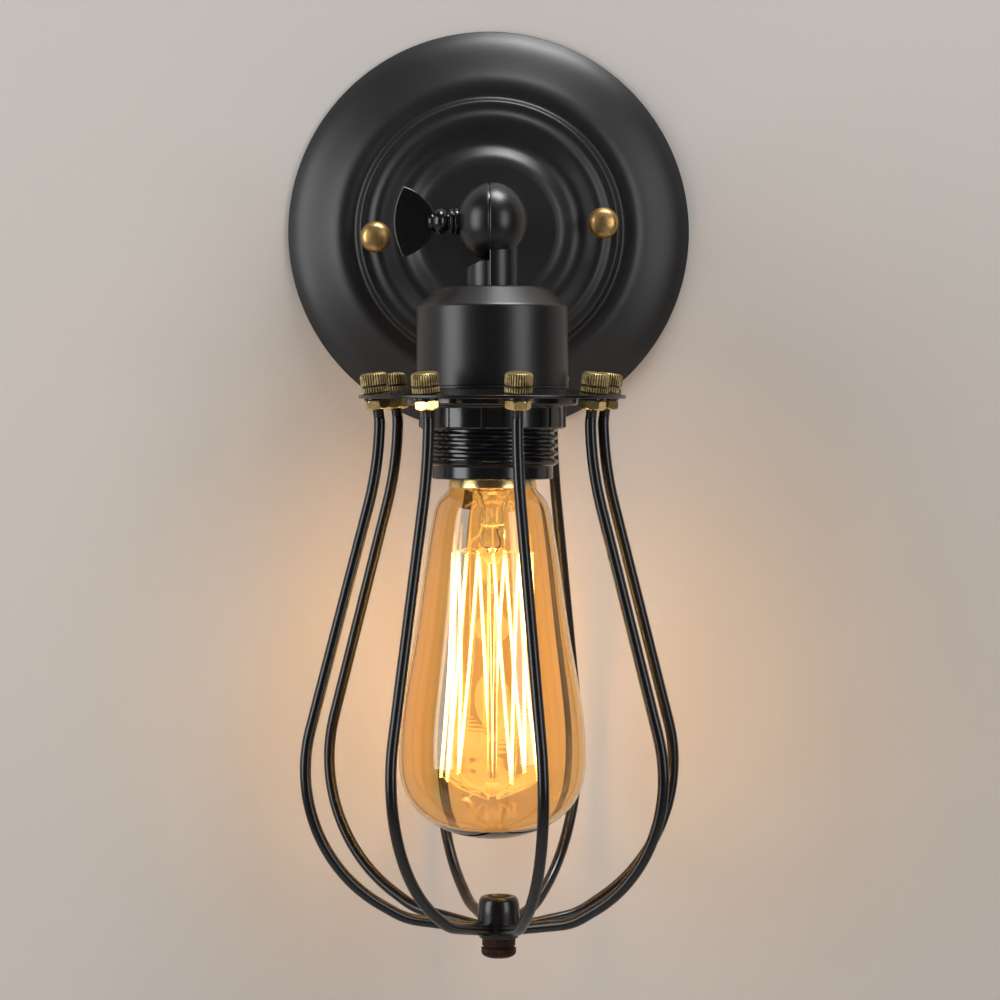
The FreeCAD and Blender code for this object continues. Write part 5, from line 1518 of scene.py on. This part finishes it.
    def wire(self, index: int) -> Surface:
        """One wire; its top carries a fine screw thread and its skin is not quite even.

        Args:
            index: The wire's number, from 0.

        Returns:
            The wire.
        """
        path = self.wire_path(index)
        path = np.concatenate([refined(path[:2], 0.15)[:-1], refined(path[1:], 2.2)])
        run = np.concatenate([[0.0], np.cumsum(np.linalg.norm(np.diff(path, axis=0), axis=1))])
        thread = (0.5 - 0.5 * np.cos(run * 2 * np.pi / self.thread_pitch)) * (run < self.thread_end)
        skin = 0.02 * np.sin(run * 0.9 + index) * np.sin(run * 0.31)
        radius = self.wire_radius - 0.16 * thread - np.abs(skin)
        turn = math.radians(WIRE_TURN + self.twist + 360.0 / WIRE_COUNT * index)
        return swept(path, radius, 28, (math.cos(turn), math.sin(turn), 0.0))

    def hub(self) -> Surface:
        """Hub with a barrel body, soft shoulders and a hollow top.

        Returns:
            The hub.
        """
        low, high = FLOOR_LEVEL - self.hub_below, FLOOR_LEVEL + self.hub_above
        outer, bore = self.hub_radius, self.hub_bore
        outline = [
            (bore, low, 0), (outer - 0.5, low, 0.3), (outer - 0.1, low + 1.6, 0.8),
            (outer, low + 4.0, 1.5),
            (outer, high - 3.6, 1.4), (outer - 0.45, high - 1.1, 0.8), (outer - 1.3, high, 0.5),
            (bore + 0.75, high, 0.3), (bore, high - 0.8, 0)]
        return lathe(outline, 96, 0.8, ring=True).moved(HUB_SHIFT, 0.0, 0.0)

    def hub_screw(self) -> Surface:
        """Knurled screw under the hub, with a groove around its head and a domed end.

        Returns:
            The screw.
        """
        top = FLOOR_LEVEL - self.hub_below - GAP
        low, rim = top - self.head_height, self.head_radius
        middle = top - self.head_height * 0.42
        shank, end = self.shank_radius, top + self.shank_length
        outline = [
            (0, low, 0), (rim - 1.8, low + 0.2, 0.8), (rim - 0.5, low + 0.9, 0.5),
            (rim, low + 1.6, 0.4), (rim, middle - 0.4, 0.1), (rim - 0.75, middle - 0.25, 0.1),
            (rim - 0.75, middle + 0.25, 0.1),
            (rim - 0.25, middle + 0.4, 0.1), (rim - 0.25, top - 0.3, 0.1), (rim - 0.55, top, 0.1),
            (shank, top, 0.05), (shank, end - 0.05, 0.05), (0, end, 0)]
        bands = [(low + 1.0, middle - 0.3), (middle + 0.35, top - 0.1)]
        teeth = knurl_relief(self.head_teeth, 0.34, rim - 0.1, bands)

        def relief(angle: Array, radius: Array, height: Array) -> Offset:
            """Knurls, with dirt in the groove."""
            offset, wear = teeth(angle, radius, height)
            return offset, wear * (1 - 0.9 * (np.abs(height - middle) < 0.4) * (radius < rim - 0.3))

        return lathe(outline, self.head_teeth * 6, 0.3, relief).moved(HUB_SHIFT, 0.0, 0.0)

    def build(self, bench: Bench) -> None:
        """Make the pieces.

        Args:
            bench: Where the pieces are finished.
        """
        enamel = Variant.wire_enamel.value
        bench.piece("cage_plate", self.plate().placed(in_head), enamel)
        brass = Variant.knurled_brass.value
        bench.piece("knurled_nuts", self.knurled_nuts().placed(in_head), brass, 60.0)
        bench.piece("wire_washers", self.washers().placed(in_head), enamel)
        bench.piece("wire_nuts", self.hexagons().placed(in_head), crease=24.0)
        for index in range(WIRE_COUNT):
            bench.piece("cage_wire_%d" % (index + 1), self.wire(index).placed(in_head), enamel, 60.0)
        bench.piece("hub", self.hub().placed(in_head), enamel)
        bench.piece("hub_screw", self.hub_screw().placed(in_head), Variant.screw_brass.value, 60.0)


# ------------------------------------------------------------------ lamp
@dataclass
class Lamp:
    """Screw cap, bottle glass, glass mount, filament and its supports."""

    cap_radius: float = 13.1
    cap_root: float = 12.2
    cap_sheet: float = 0.4
    cap_pitch: float = 3.62
    cap_top: float = LAMP_TIP - 3.9
    flare_top: float = CAP_RIM + 4.4    # where the cap widens to its rim
    rim_radius: float = 13.8
    glass_wall: float = 0.9
    neck: float = 12.9
    shoulder: float = 18.5
    shoulder_drop: float = 9.5
    belly: float = 29.0
    belly_rise: float = 25.9
    mount_tube: float = 4.0
    mount_rod: float = 1.58
    hooks: int = 9
    top_radius: float = 12.3            # circle of the upper hooks
    bottom_radius: float = 16.2
    pinch_drop: float = 19.0
    top_level: float = CAP_RIM - 20.0
    bottom_level: float = LAMP_END + 18.9
    coil: float = 0.30                  # radius of the fine coil's middle line
    coil_wire: float = 0.27
    slack: float = 0.35                 # least bow of a strand
    support_wire: float = 0.16
    eye: float = 0.36
    lead_wire: float = 0.3

    def cap(self) -> Surface:
        """Thin screw shell with a rolled thread and a flared rim.

        Returns:
            The cap.
        """
        top, rim_top = self.cap_top, self.flare_top
        outer = rounded([(self.cap_root - 1.2, top, 0), (self.cap_radius, top - 1.2, 0.8),
                         (self.cap_radius, rim_top + 0.4, 0.6),
                         (self.rim_radius - 0.3, CAP_RIM + 1.6, 0.8),
                         (self.rim_radius, CAP_RIM + 0.15, 0.1), (self.rim_radius - 0.15, CAP_RIM, 0)])
        inner = outer[::-1] - np.array([self.cap_sheet, 0.0])
        cut = thread_relief(self.cap_pitch, 0.9, rim_top + 0.6, top - 0.2, 0.9)

        def relief(angle: Array, radius: Array, height: Array) -> Offset:
            """The same rolled thread on both faces of the sheet."""
            offset, wear = cut(angle, radius, height)
            return offset, 0.4 + 0.6 * wear

        return turned(refined(np.concatenate([outer, inner]), 0.35), 96, relief, ring=True)

    def bottle(self) -> Surface:
        """Glass from the neck inside the cap to the sealed lower end, with an inner face.

        The inner face lies inwards along the outline's normal by the wall, which thickens towards
        the sealed end by 0.5 exp(-(h/2.5)(h/2.5)), h being the height over that end.

        Returns:
            The glass.
        """
        neck, shoulder, belly, drop = self.neck, self.shoulder, self.belly, self.belly_rise
        belly_level = LAMP_END + drop
        shoulder_level = CAP_RIM - self.shoulder_drop
        cone = (belly - shoulder) / (shoulder_level - belly_level)
        middle = (shoulder_level + belly_level) / 2
        outer = smooth_line([
            (neck, CAP_RIM + 3.0), (neck + 0.3, CAP_RIM + 0.4),
            (neck + (shoulder - neck) * 0.62, CAP_RIM - self.shoulder_drop * 0.38),
            (shoulder, shoulder_level), (shoulder + cone * (shoulder_level - middle) + 0.4, middle),
            (belly - 0.5, belly_level + 10.0), (belly, belly_level),
            (belly * 0.955, belly_level - drop * 0.38), (belly * 0.80, belly_level - drop * 0.66),
            (belly * 0.53, belly_level - drop * 0.865),
            (belly * 0.24, LAMP_END + drop * 0.035), (0.0, LAMP_END)], 170)
        outer[-1] = (0.0, LAMP_END)
        step = np.gradient(outer, axis=0)
        normal = np.stack([step[:, 1], -step[:, 0]], axis=1)
        normal /= np.linalg.norm(normal, axis=1, keepdims=True)
        thick = self.glass_wall + 0.5 * np.exp(-((outer[:, 1] - LAMP_END) / 2.5) ** 2)
        inner = outer + normal * thick[:, None]
        inner = inner[inner[:, 0] > 0.3]
        inner = np.concatenate([inner, [(0.0, LAMP_END + self.glass_wall + 0.5)]])
        outline = np.concatenate([inner[::-1], outer])
        return turned(outline, 144)

    def mount(self) -> Surface:
        """Flared tube, pinched flat at its end, and the rod with its two buttons.

        Returns:
            The mount.
        """
        tube, rod, flare = self.mount_tube, self.mount_rod, self.neck - self.glass_wall - 0.3
        level = CAP_RIM + 1.4
        pinch, rod_end = CAP_RIM - self.pinch_drop, self.bottom_level - 4.0
        outline = rounded([
            (flare, level, 0), (flare - 0.3, level - 0.9, 0.4), (tube + 2.0, level - 3.4, 1.6),
            (tube, level - 7.5, 1.6), (tube, pinch + 6.0, 2.0), (tube * 0.85, pinch + 0.8, 0.6),
            (rod, pinch, 0.3), (rod, rod_end + 0.5, 0.4), (1.1, rod_end + 0.05, 0.3), (0, rod_end, 0)])
        inner = tube - self.glass_wall
        inside = rounded([(0, pinch + 6.5, 0), (inner, pinch + 7.2, 0.6), (inner, level - 7.5, 1.5),
                          (tube + 1.2, level - 3.2, 1.4), (flare - 1.0, level, 0), (flare, level, 0)])
        surface = turned(refined(np.concatenate([inside, outline[1:]]), 0.9), 64)
        flat = np.clip((pinch + 8.0 - surface.points[:, 2]) / 5.0, 0, 1)
        flat = flat * np.clip(surface.points[:, 2] - pinch + 1.0, 0, 1)
        points = surface.points * np.stack([1 + 0.12 * flat, 1 - 0.5 * flat, 1 + 0 * flat], axis=1)
        return Surface(points, surface.faces, surface.wear)

    def hook_ring(self, at_top: bool) -> Array:
        """Places of the hooks at the top or at the bottom.

        Args:
            at_top: Whether these are the upper hooks.

        Returns:
            The places, one row each.
        """
        step = 2 * np.pi / self.hooks
        angle = step * (np.arange(self.hooks if at_top else self.hooks - 1) + (0.0 if at_top else 0.5))
        radius = self.top_radius if at_top else self.bottom_radius
        level = self.top_level if at_top else self.bottom_level
        return np.stack([radius * np.sin(angle), -radius * np.cos(angle), level + 0 * angle], axis=1)

    def strands(self) -> Surface:
        """Filament up and down between the hooks: a fine coil, slack enough to bow a little.

        A strand from A to B bows inwards, along n, by the slack times sin(pi u) for u from 0 to 1.
        The coil goes round it once each millimetre, at n c cos(2 pi l u) + b c sin(2 pi l u), with
        c the coil's radius, l the strand's length and b square to n and to the vertical.

        Returns:
            All strands.
        """
        top, low = self.hook_ring(True), self.hook_ring(False)
        runs = []
        u = np.linspace(0.0, 1.0, 560)[:, None]
        for index in range(2 * len(low)):
            start, end = top[(index + 1) // 2], low[index // 2]
            line = start * (1 - u) + end * u
            inward = -line * np.array([1.0, 1.0, 0.0]) / np.hypot(line[:, :1], line[:, 1:2])
            line = line + inward * self.slack * np.sin(np.pi * u) * (1 + index % 3)
            phase = u * np.linalg.norm(end - start) * 2 * np.pi
            side = np.cross(inward, [0.0, 0.0, 1.0])
            coil = line + self.coil * (inward * np.cos(phase) + side * np.sin(phase))
            runs.append(swept(coil, self.coil_wire, 6, (0.31, 0.95, 0.0)))
        return joined(runs)

    def star(self, at_top: bool) -> Surface:
        """Support wires from the rod's button out to the hooks, bowed, each with a small eye.

        A wire follows the straight line plus a bow of sin(pi u) upwards or downwards, and ends in
        0.9 of a turn of a circle.

        Args:
            at_top: Whether these are the upper supports.

        Returns:
            The wires and their button.
        """
        hooks = self.hook_ring(at_top)[1:-1] if at_top else self.hook_ring(at_top)
        up, rise = np.array([0.0, 0.0, 1.0]), 0.9 if at_top else -1.1
        level = CAP_RIM - self.pinch_drop - 3.0 if at_top else self.bottom_level - 3.0
        u = np.linspace(0.0, 1.0, 16)[:, None]
        t = np.linspace(0.0, 2 * np.pi * 0.9, 16)[:, None]
        rays = []
        for index, place in enumerate(hooks):
            out = place * [1.0, 1.0, 0.0] / np.hypot(place[0], place[1])
            start = out * 2.0 + up * level
            end = place - out * 0.62
            bow = up * rise * np.sin(np.pi * u) * (1 + index % 2)
            eye = end + self.eye * (out * (1 - np.cos(t)) + np.cross(out, up) * np.sin(t) * 0.9)
            path = np.concatenate([start * (1 - u) + end * u + bow, eye[1:]])
            rays.append(swept(path, self.support_wire, 8, up))
        button = rounded([(1.62, level + 1.7, 0), (2.1, level + 1.5, 0.5), (2.8, level, 0.9),
                          (2.1, level - 1.5, 0.5), (1.62, level - 1.7, 0)])
        return joined(rays + [turned(button, 40, ring=True)])

    def leads(self) -> Surface:
        """Two lead-in wires with a kink, from the pinch to the filament's ends.

        Returns:
            Both wires.
        """
        ends = self.hook_ring(True)[[0, -1]]
        runs = []
        for index, end in enumerate(ends):
            angle = 2 * np.pi / self.hooks * (0 if index == 0 else self.hooks - 1)
            out = np.array([math.sin(angle), -math.cos(angle), 0.0])
            start = out * 4.5 + np.array([0.0, 0.0, CAP_RIM - self.pinch_drop + 8.0])
            tip = end + (start - end) / np.linalg.norm(start - end) * 0.72
            path = bent_path(np.array([start, start * 0.75 + tip * 0.25 + [0.0, 0.0, -1.6],
                                       start * 0.3 + tip * 0.7 + [0.0, 0.0, 1.1], tip]), (1.2, 1.5))
            runs.append(swept(refined(path, 0.5), self.lead_wire, 10, np.cross(out, [0.0, 0.0, 1.0])))
        return joined(runs)

    def build(self, bench: Bench) -> None:
        """Make the pieces.

        Args:
            bench: Where the pieces are finished.
        """
        bench.piece("bulb_cap", self.cap().placed(in_head))
        bench.piece("bulb_glass", self.bottle().placed(in_head), crease=70.0)
        bench.piece("glass_mount", self.mount().placed(in_head), crease=60.0)
        bench.piece("filament", self.strands().placed(in_head), crease=60.0)
        # The supports and lead-in wires get the painted glow, emission standing in for the filament's
        # light reflected on them.
        hot = Variant.hot_support.value
        bench.piece("upper_supports", self.star(True).placed(in_head), hot, 60.0)
        bench.piece("lower_supports", self.star(False).placed(in_head), hot, 60.0)
        bench.piece("filament_leads", self.leads().placed(in_head), hot, 60.0)


# ------------------------------------------------------------------ leads
@dataclass
class Leads:
    """Two insulated leads from the block in the canopy through the knuckle to the lampholder."""

    radius: float = 0.9
    spacing: float = 1.9
    in_arm: float = -2.5        # sideways place in the arm
    in_stem: float = 0.7        # sideways place in the stem
    block: float = 9.0          # width of the terminal block
    poles: float = 8.0          # between its two poles
    along: float = 12.4         # its middle, along the line of the studs
    level: float = 4.9          # its holes, from the wall
    arm_start: float = 8.4      # where the arm's pipe begins, from the wall
    reach: float = 6.6          # where the outer lead starts its turn, from the ball's middle
    cap_inside: float = -27.9   # heights of the lampholder's cap and of its insert
    insert_top: float = -45.5
    terminals: float = 17.0     # between the lampholder's terminals
    bends: tuple[float, ...] = (1.8, 3.6, 8.0, 8.0, 5.4, 3.6)
    bend_reach: float = 7.5     # places the two bending points this far before and after the ball's middle; they are passed on but not used

    def path(self, side: float) -> Array:
        """Middle line of one lead; side -1 is the outer one where the knuckle turns.

        Args:
            side: -1 or 1.

        Returns:
            The line's points in the row's frame.
        """
        turn = math.radians(STUD_TURN)

        def at_block(x: float, z: float) -> Triple:
            """Point beside the block, square to the line of the studs."""
            x, cosine, sine = x + self.along, math.cos(turn), math.sin(turn)
            return x * cosine - z * sine, -self.level, x * sine + z * cosine

        off, pole = side * self.spacing / 2, -side * self.poles / 2
        terminal, beside = side * (self.terminals / 2 + 0.6), off * 3.8
        reach = self.reach + (side + 1) * 0.9
        corners = np.array([
            at_block(-self.block / 2 + 2.0, pole), at_block(-self.block / 2 - 3.4, pole),
            (self.in_arm, -self.arm_start - 3.0, -off), (self.in_arm, -ARM_REACH + reach, -off),
            (self.in_stem, -ARM_REACH + off, -reach),
            (self.in_stem, -ARM_REACH + off, self.cap_inside - 3.0),
            (terminal, -ARM_REACH + beside, self.insert_top + 6.4),
            (terminal, -ARM_REACH + beside, self.insert_top + 0.05)])
        return bent_path(corners, self.bends)

    def build(self, bench: Bench) -> None:
        """Make the two leads; they bend from the arm to the stem inside the ball.

        Args:
            bench: Where the pieces are finished.
        """
        start = np.array([0.0, self.bend_reach - ARM_REACH, 0.0])
        end = np.array([0.0, -ARM_REACH, -self.bend_reach])
        for node, side in (("live_lead", -1.0), ("neutral_lead", 1.0)):
            tube = swept(refined(self.path(side), 0.8), self.radius, 20, (0.86, 0.35, 0.37))
            bench.piece(node, tube, crease=60.0, bending=("wall", "head", start, end))


# ------------------------------------------------------------------ studio
@dataclass(frozen=True)
class SoftLamp:
    """Rectangular soft lamp aimed at the middle of the light."""

    name: str
    azimuth: float              # degrees from the viewer's side towards the right
    elevation: float            # degrees above the horizon
    distance: float             # metres from the middle
    size: tuple[float, float]   # metres
    power: float                # watts
    tint: Triple
    aim: Triple = (0.0, -0.05, -0.06)

    def build(self) -> None:
        """Hang the lamp up."""
        light = bpy.data.lights.new(self.name, "AREA")
        light.shape = "RECTANGLE"
        light.size, light.size_y = self.size
        light.energy, light.color = self.power, self.tint
        turn, rise = math.radians(self.azimuth), math.radians(self.elevation)
        away = (math.sin(turn) * math.cos(rise), -math.cos(turn) * math.cos(rise), math.sin(rise))
        holder = shown(self.name, light)
        holder.location = tuple(start + self.distance * part for start, part in zip(self.aim, away))
        holder.rotation_euler = (math.pi / 2 - rise, 0.0, turn)


@dataclass
class Studio:
    """Camera, lamps, wall panel and floor; lengths in metres unless a comment says otherwise."""

    camera_place: Triple = (-0.0193, -1.0715, -0.0553)
    sensor: float = 36.0        # millimetres
    picture_px: float = 1000.0
    focal_px: float = 3250.0
    principal_px: tuple[float, float] = (430.0, 400.0)
    wall_half: float = 0.9
    floor_half: float = 2.5
    floor_height: float = -0.75
    hole: float = 56.0          # millimetres, radius of the hole behind the canopy
    wall_gap: float = 0.5       # millimetres, from the canopy's rim back to the panel

    def camera(self) -> None:
        """Camera that looks straight at the wall with the photograph's framing."""
        lens = bpy.data.cameras.new("view")
        lens.sensor_width = self.sensor
        lens.lens = self.focal_px / self.picture_px * self.sensor
        lens.shift_x = (self.picture_px / 2 - self.principal_px[0]) / self.picture_px
        lens.shift_y = (self.principal_px[1] - self.picture_px / 2) / self.picture_px
        holder = shown("view", lens)
        holder.location = self.camera_place
        holder.rotation_euler = (math.pi / 2, 0.0, 0.0)
        bpy.context.scene.camera = holder

    def glow(self, heights: Sequence[float], power: float, tint: Triple) -> None:
        """Warm lamps along the hot filament, which light the parts around it but aren't seen.

        Args:
            heights: Where they are on the lamp's axis, in metres.
            power: Watts of each.
            tint: Their colour.
        """
        for index, height in enumerate(heights):
            light = bpy.data.lights.new("filament_glow_%d" % index, "POINT")
            light.energy, light.color, light.shadow_soft_size = power, tint, 0.006
            holder = shown(light.name, light)
            holder.location = (0.0, -ARM_REACH * MM, height)
            holder.visible_camera = holder.visible_transmission = False

    def wall(self) -> Surface:
        """Wall with a round hole behind the canopy, in millimetres.

        At each angle a the inner ring is at the hole's radius, and the outer one where the direction
        (cos a, sin a) leaves the wall's rectangle.

        Returns:
            The wall.
        """
        angle = np.linspace(0.0, 2 * np.pi, 128, endpoint=False)
        x, z = np.cos(angle), np.sin(angle)
        side, high, low = self.wall_half / MM, self.wall_half / MM, -self.floor_height / MM
        reach = np.minimum(side / np.maximum(np.abs(x), 1e-6),
                           np.where(z > 0, high, low) / np.maximum(np.abs(z), 1e-6))
        radius = np.stack([np.full_like(angle, self.hole), reach])
        points = np.stack([radius * x, self.wall_gap + 0 * radius, radius * z], axis=-1).reshape(-1, 3)
        return Surface(points, grid_faces(2, len(angle))[:, ::-1])

    def floor(self) -> Surface:
        """Square floor, in millimetres.

        Returns:
            The floor.
        """
        side = np.array([-self.floor_half, self.floor_half]) / MM
        x, y = np.meshgrid(side, side)
        points = np.stack([x, y, 0 * x + self.floor_height / MM], axis=-1).reshape(-1, 3)
        return Surface(points, grid_faces(2, 2, ring_columns=False))

    def panel(self, name: str, surface: Surface, colour: Triple,
              one_sided: bool) -> None:
        """Flat pale panel of the setting.

        Args:
            name: The panel's name.
            surface: Its points and faces.
            colour: Its colour.
            one_sided: Whether it is only seen from its front.
        """
        mesh = bpy.data.meshes.new(name)
        mesh.from_pydata((surface.points * MM).tolist(), [], surface.faces.tolist())
        piece = shown(name, mesh)
        shader = Shader(name)
        tone = shader.mix(shader.noise(3.0, 2.0), colour, scaled(colour, 0.97))
        paint = shader.principled(Base_Color=tone, Roughness=0.9, Specular_IOR_Level=0.1)
        if one_sided:
            clear = shader.add("ShaderNodeBsdfTransparent")
            behind = shader.add("ShaderNodeNewGeometry", result="Backfacing")
            paint = shader.add("ShaderNodeMixShader", {}, {0: behind, 1: paint, 2: clear})
        mesh.materials.append(shader.finish(paint))

    def world(self, seen: float, mirrored: float, light: float) -> None:
        """Even surroundings: pale to the camera and through glass, dimmer in reflections.

        Args:
            seen: Strength for camera rays and rays through glass.
            mirrored: Strength in reflections.
            light: Strength as light.
        """
        world = bpy.data.worlds.new("surroundings")
        bpy.context.scene.world = world
        world.use_nodes = True
        nodes, links = world.node_tree.nodes, world.node_tree.links
        background = nodes["Background"]
        background.inputs["Color"].default_value = (1.0, 0.985, 0.96, 1.0)
        path = nodes.new("ShaderNodeLightPath")

        def math_node(operation: str, first: object, second: object) -> bpy.types.NodeSocket:
            """Add a Math node between sockets or numbers.

            Args:
                operation: The node's operation.
                first: Its first operand.
                second: Its second operand.

            Returns:
                The node's result.
            """
            node = nodes.new("ShaderNodeMath")
            node.operation = operation
            for slot, value in zip(node.inputs, (first, second)):
                if isinstance(value, (int, float)):
                    slot.default_value = value
                else:
                    links.new(value, slot)
            return node.outputs[0]

        rays = path.outputs
        direct = math_node("MAXIMUM", rays["Is Camera Ray"], rays["Is Transmission Ray"])
        glossy = math_node("MULTIPLY", rays["Is Glossy Ray"], mirrored - light)
        plain = math_node("ADD", glossy, light)
        lift = math_node("MULTIPLY", direct, seen - light)
        links.new(math_node("ADD", plain, lift), background.inputs["Strength"])

    def build(self) -> None:
        """Put the whole setting up."""
        bpy.context.scene.view_settings.view_transform = "Standard"
        self.camera()
        self.panel("wall_panel", self.wall(), (0.60, 0.565, 0.525), True)
        self.panel("floor", self.floor(), (0.60, 0.585, 0.56), False)
        for lamp in (SoftLamp("left_window", -63.0, 8.0, 1.1, (0.55, 0.9), 8.0, (0.97, 0.98, 1.0)),
                     SoftLamp("right_window", 43.0, 8.0, 1.3, (0.50, 0.9), 5.5, (0.98, 0.97, 1.0)),
                     SoftLamp("ceiling_soft", 68.0, 76.0, 1.0, (0.42, 0.46), 12.5, (0.99, 0.99, 1.0)),
                     SoftLamp("behind", 160.0, 25.0, 0.9, (0.5, 0.5), 9.0, (1.0, 1.0, 1.0))):
            lamp.build()
        self.glow((-0.114, -0.137, -0.160), power=0.022, tint=(1.0, 0.52, 0.20))
        self.world(seen=0.80, mirrored=0.06, light=0.12)
        log.info("studio ready")


# ------------------------------------------------------------------ the light
class WallLight:
    """The whole light: dresses the frame's nodes and builds each sub-assembly in order."""

    def __init__(self) -> None:
        """Lay the bench out."""
        self.bench = Bench()
        self.assemblies = (Canopy(), Knuckle(), Holder(), Cage(), Lamp(), Leads())

    def build(self) -> None:
        """Dress every node, then put the finer pieces in their places."""
        for node in self.bench.slots:
            self.bench.dress(node)
        for assembly in self.assemblies:
            assembly.build(self.bench)
            log.info("%s built", type(assembly).__name__)


def main() -> None:
    """Build the light and its setting."""
    logging.basicConfig(level=logging.INFO, format="%(name)s %(message)s")
    Studio().build()
    WallLight().build()


if __name__ == "__main__":
    main()
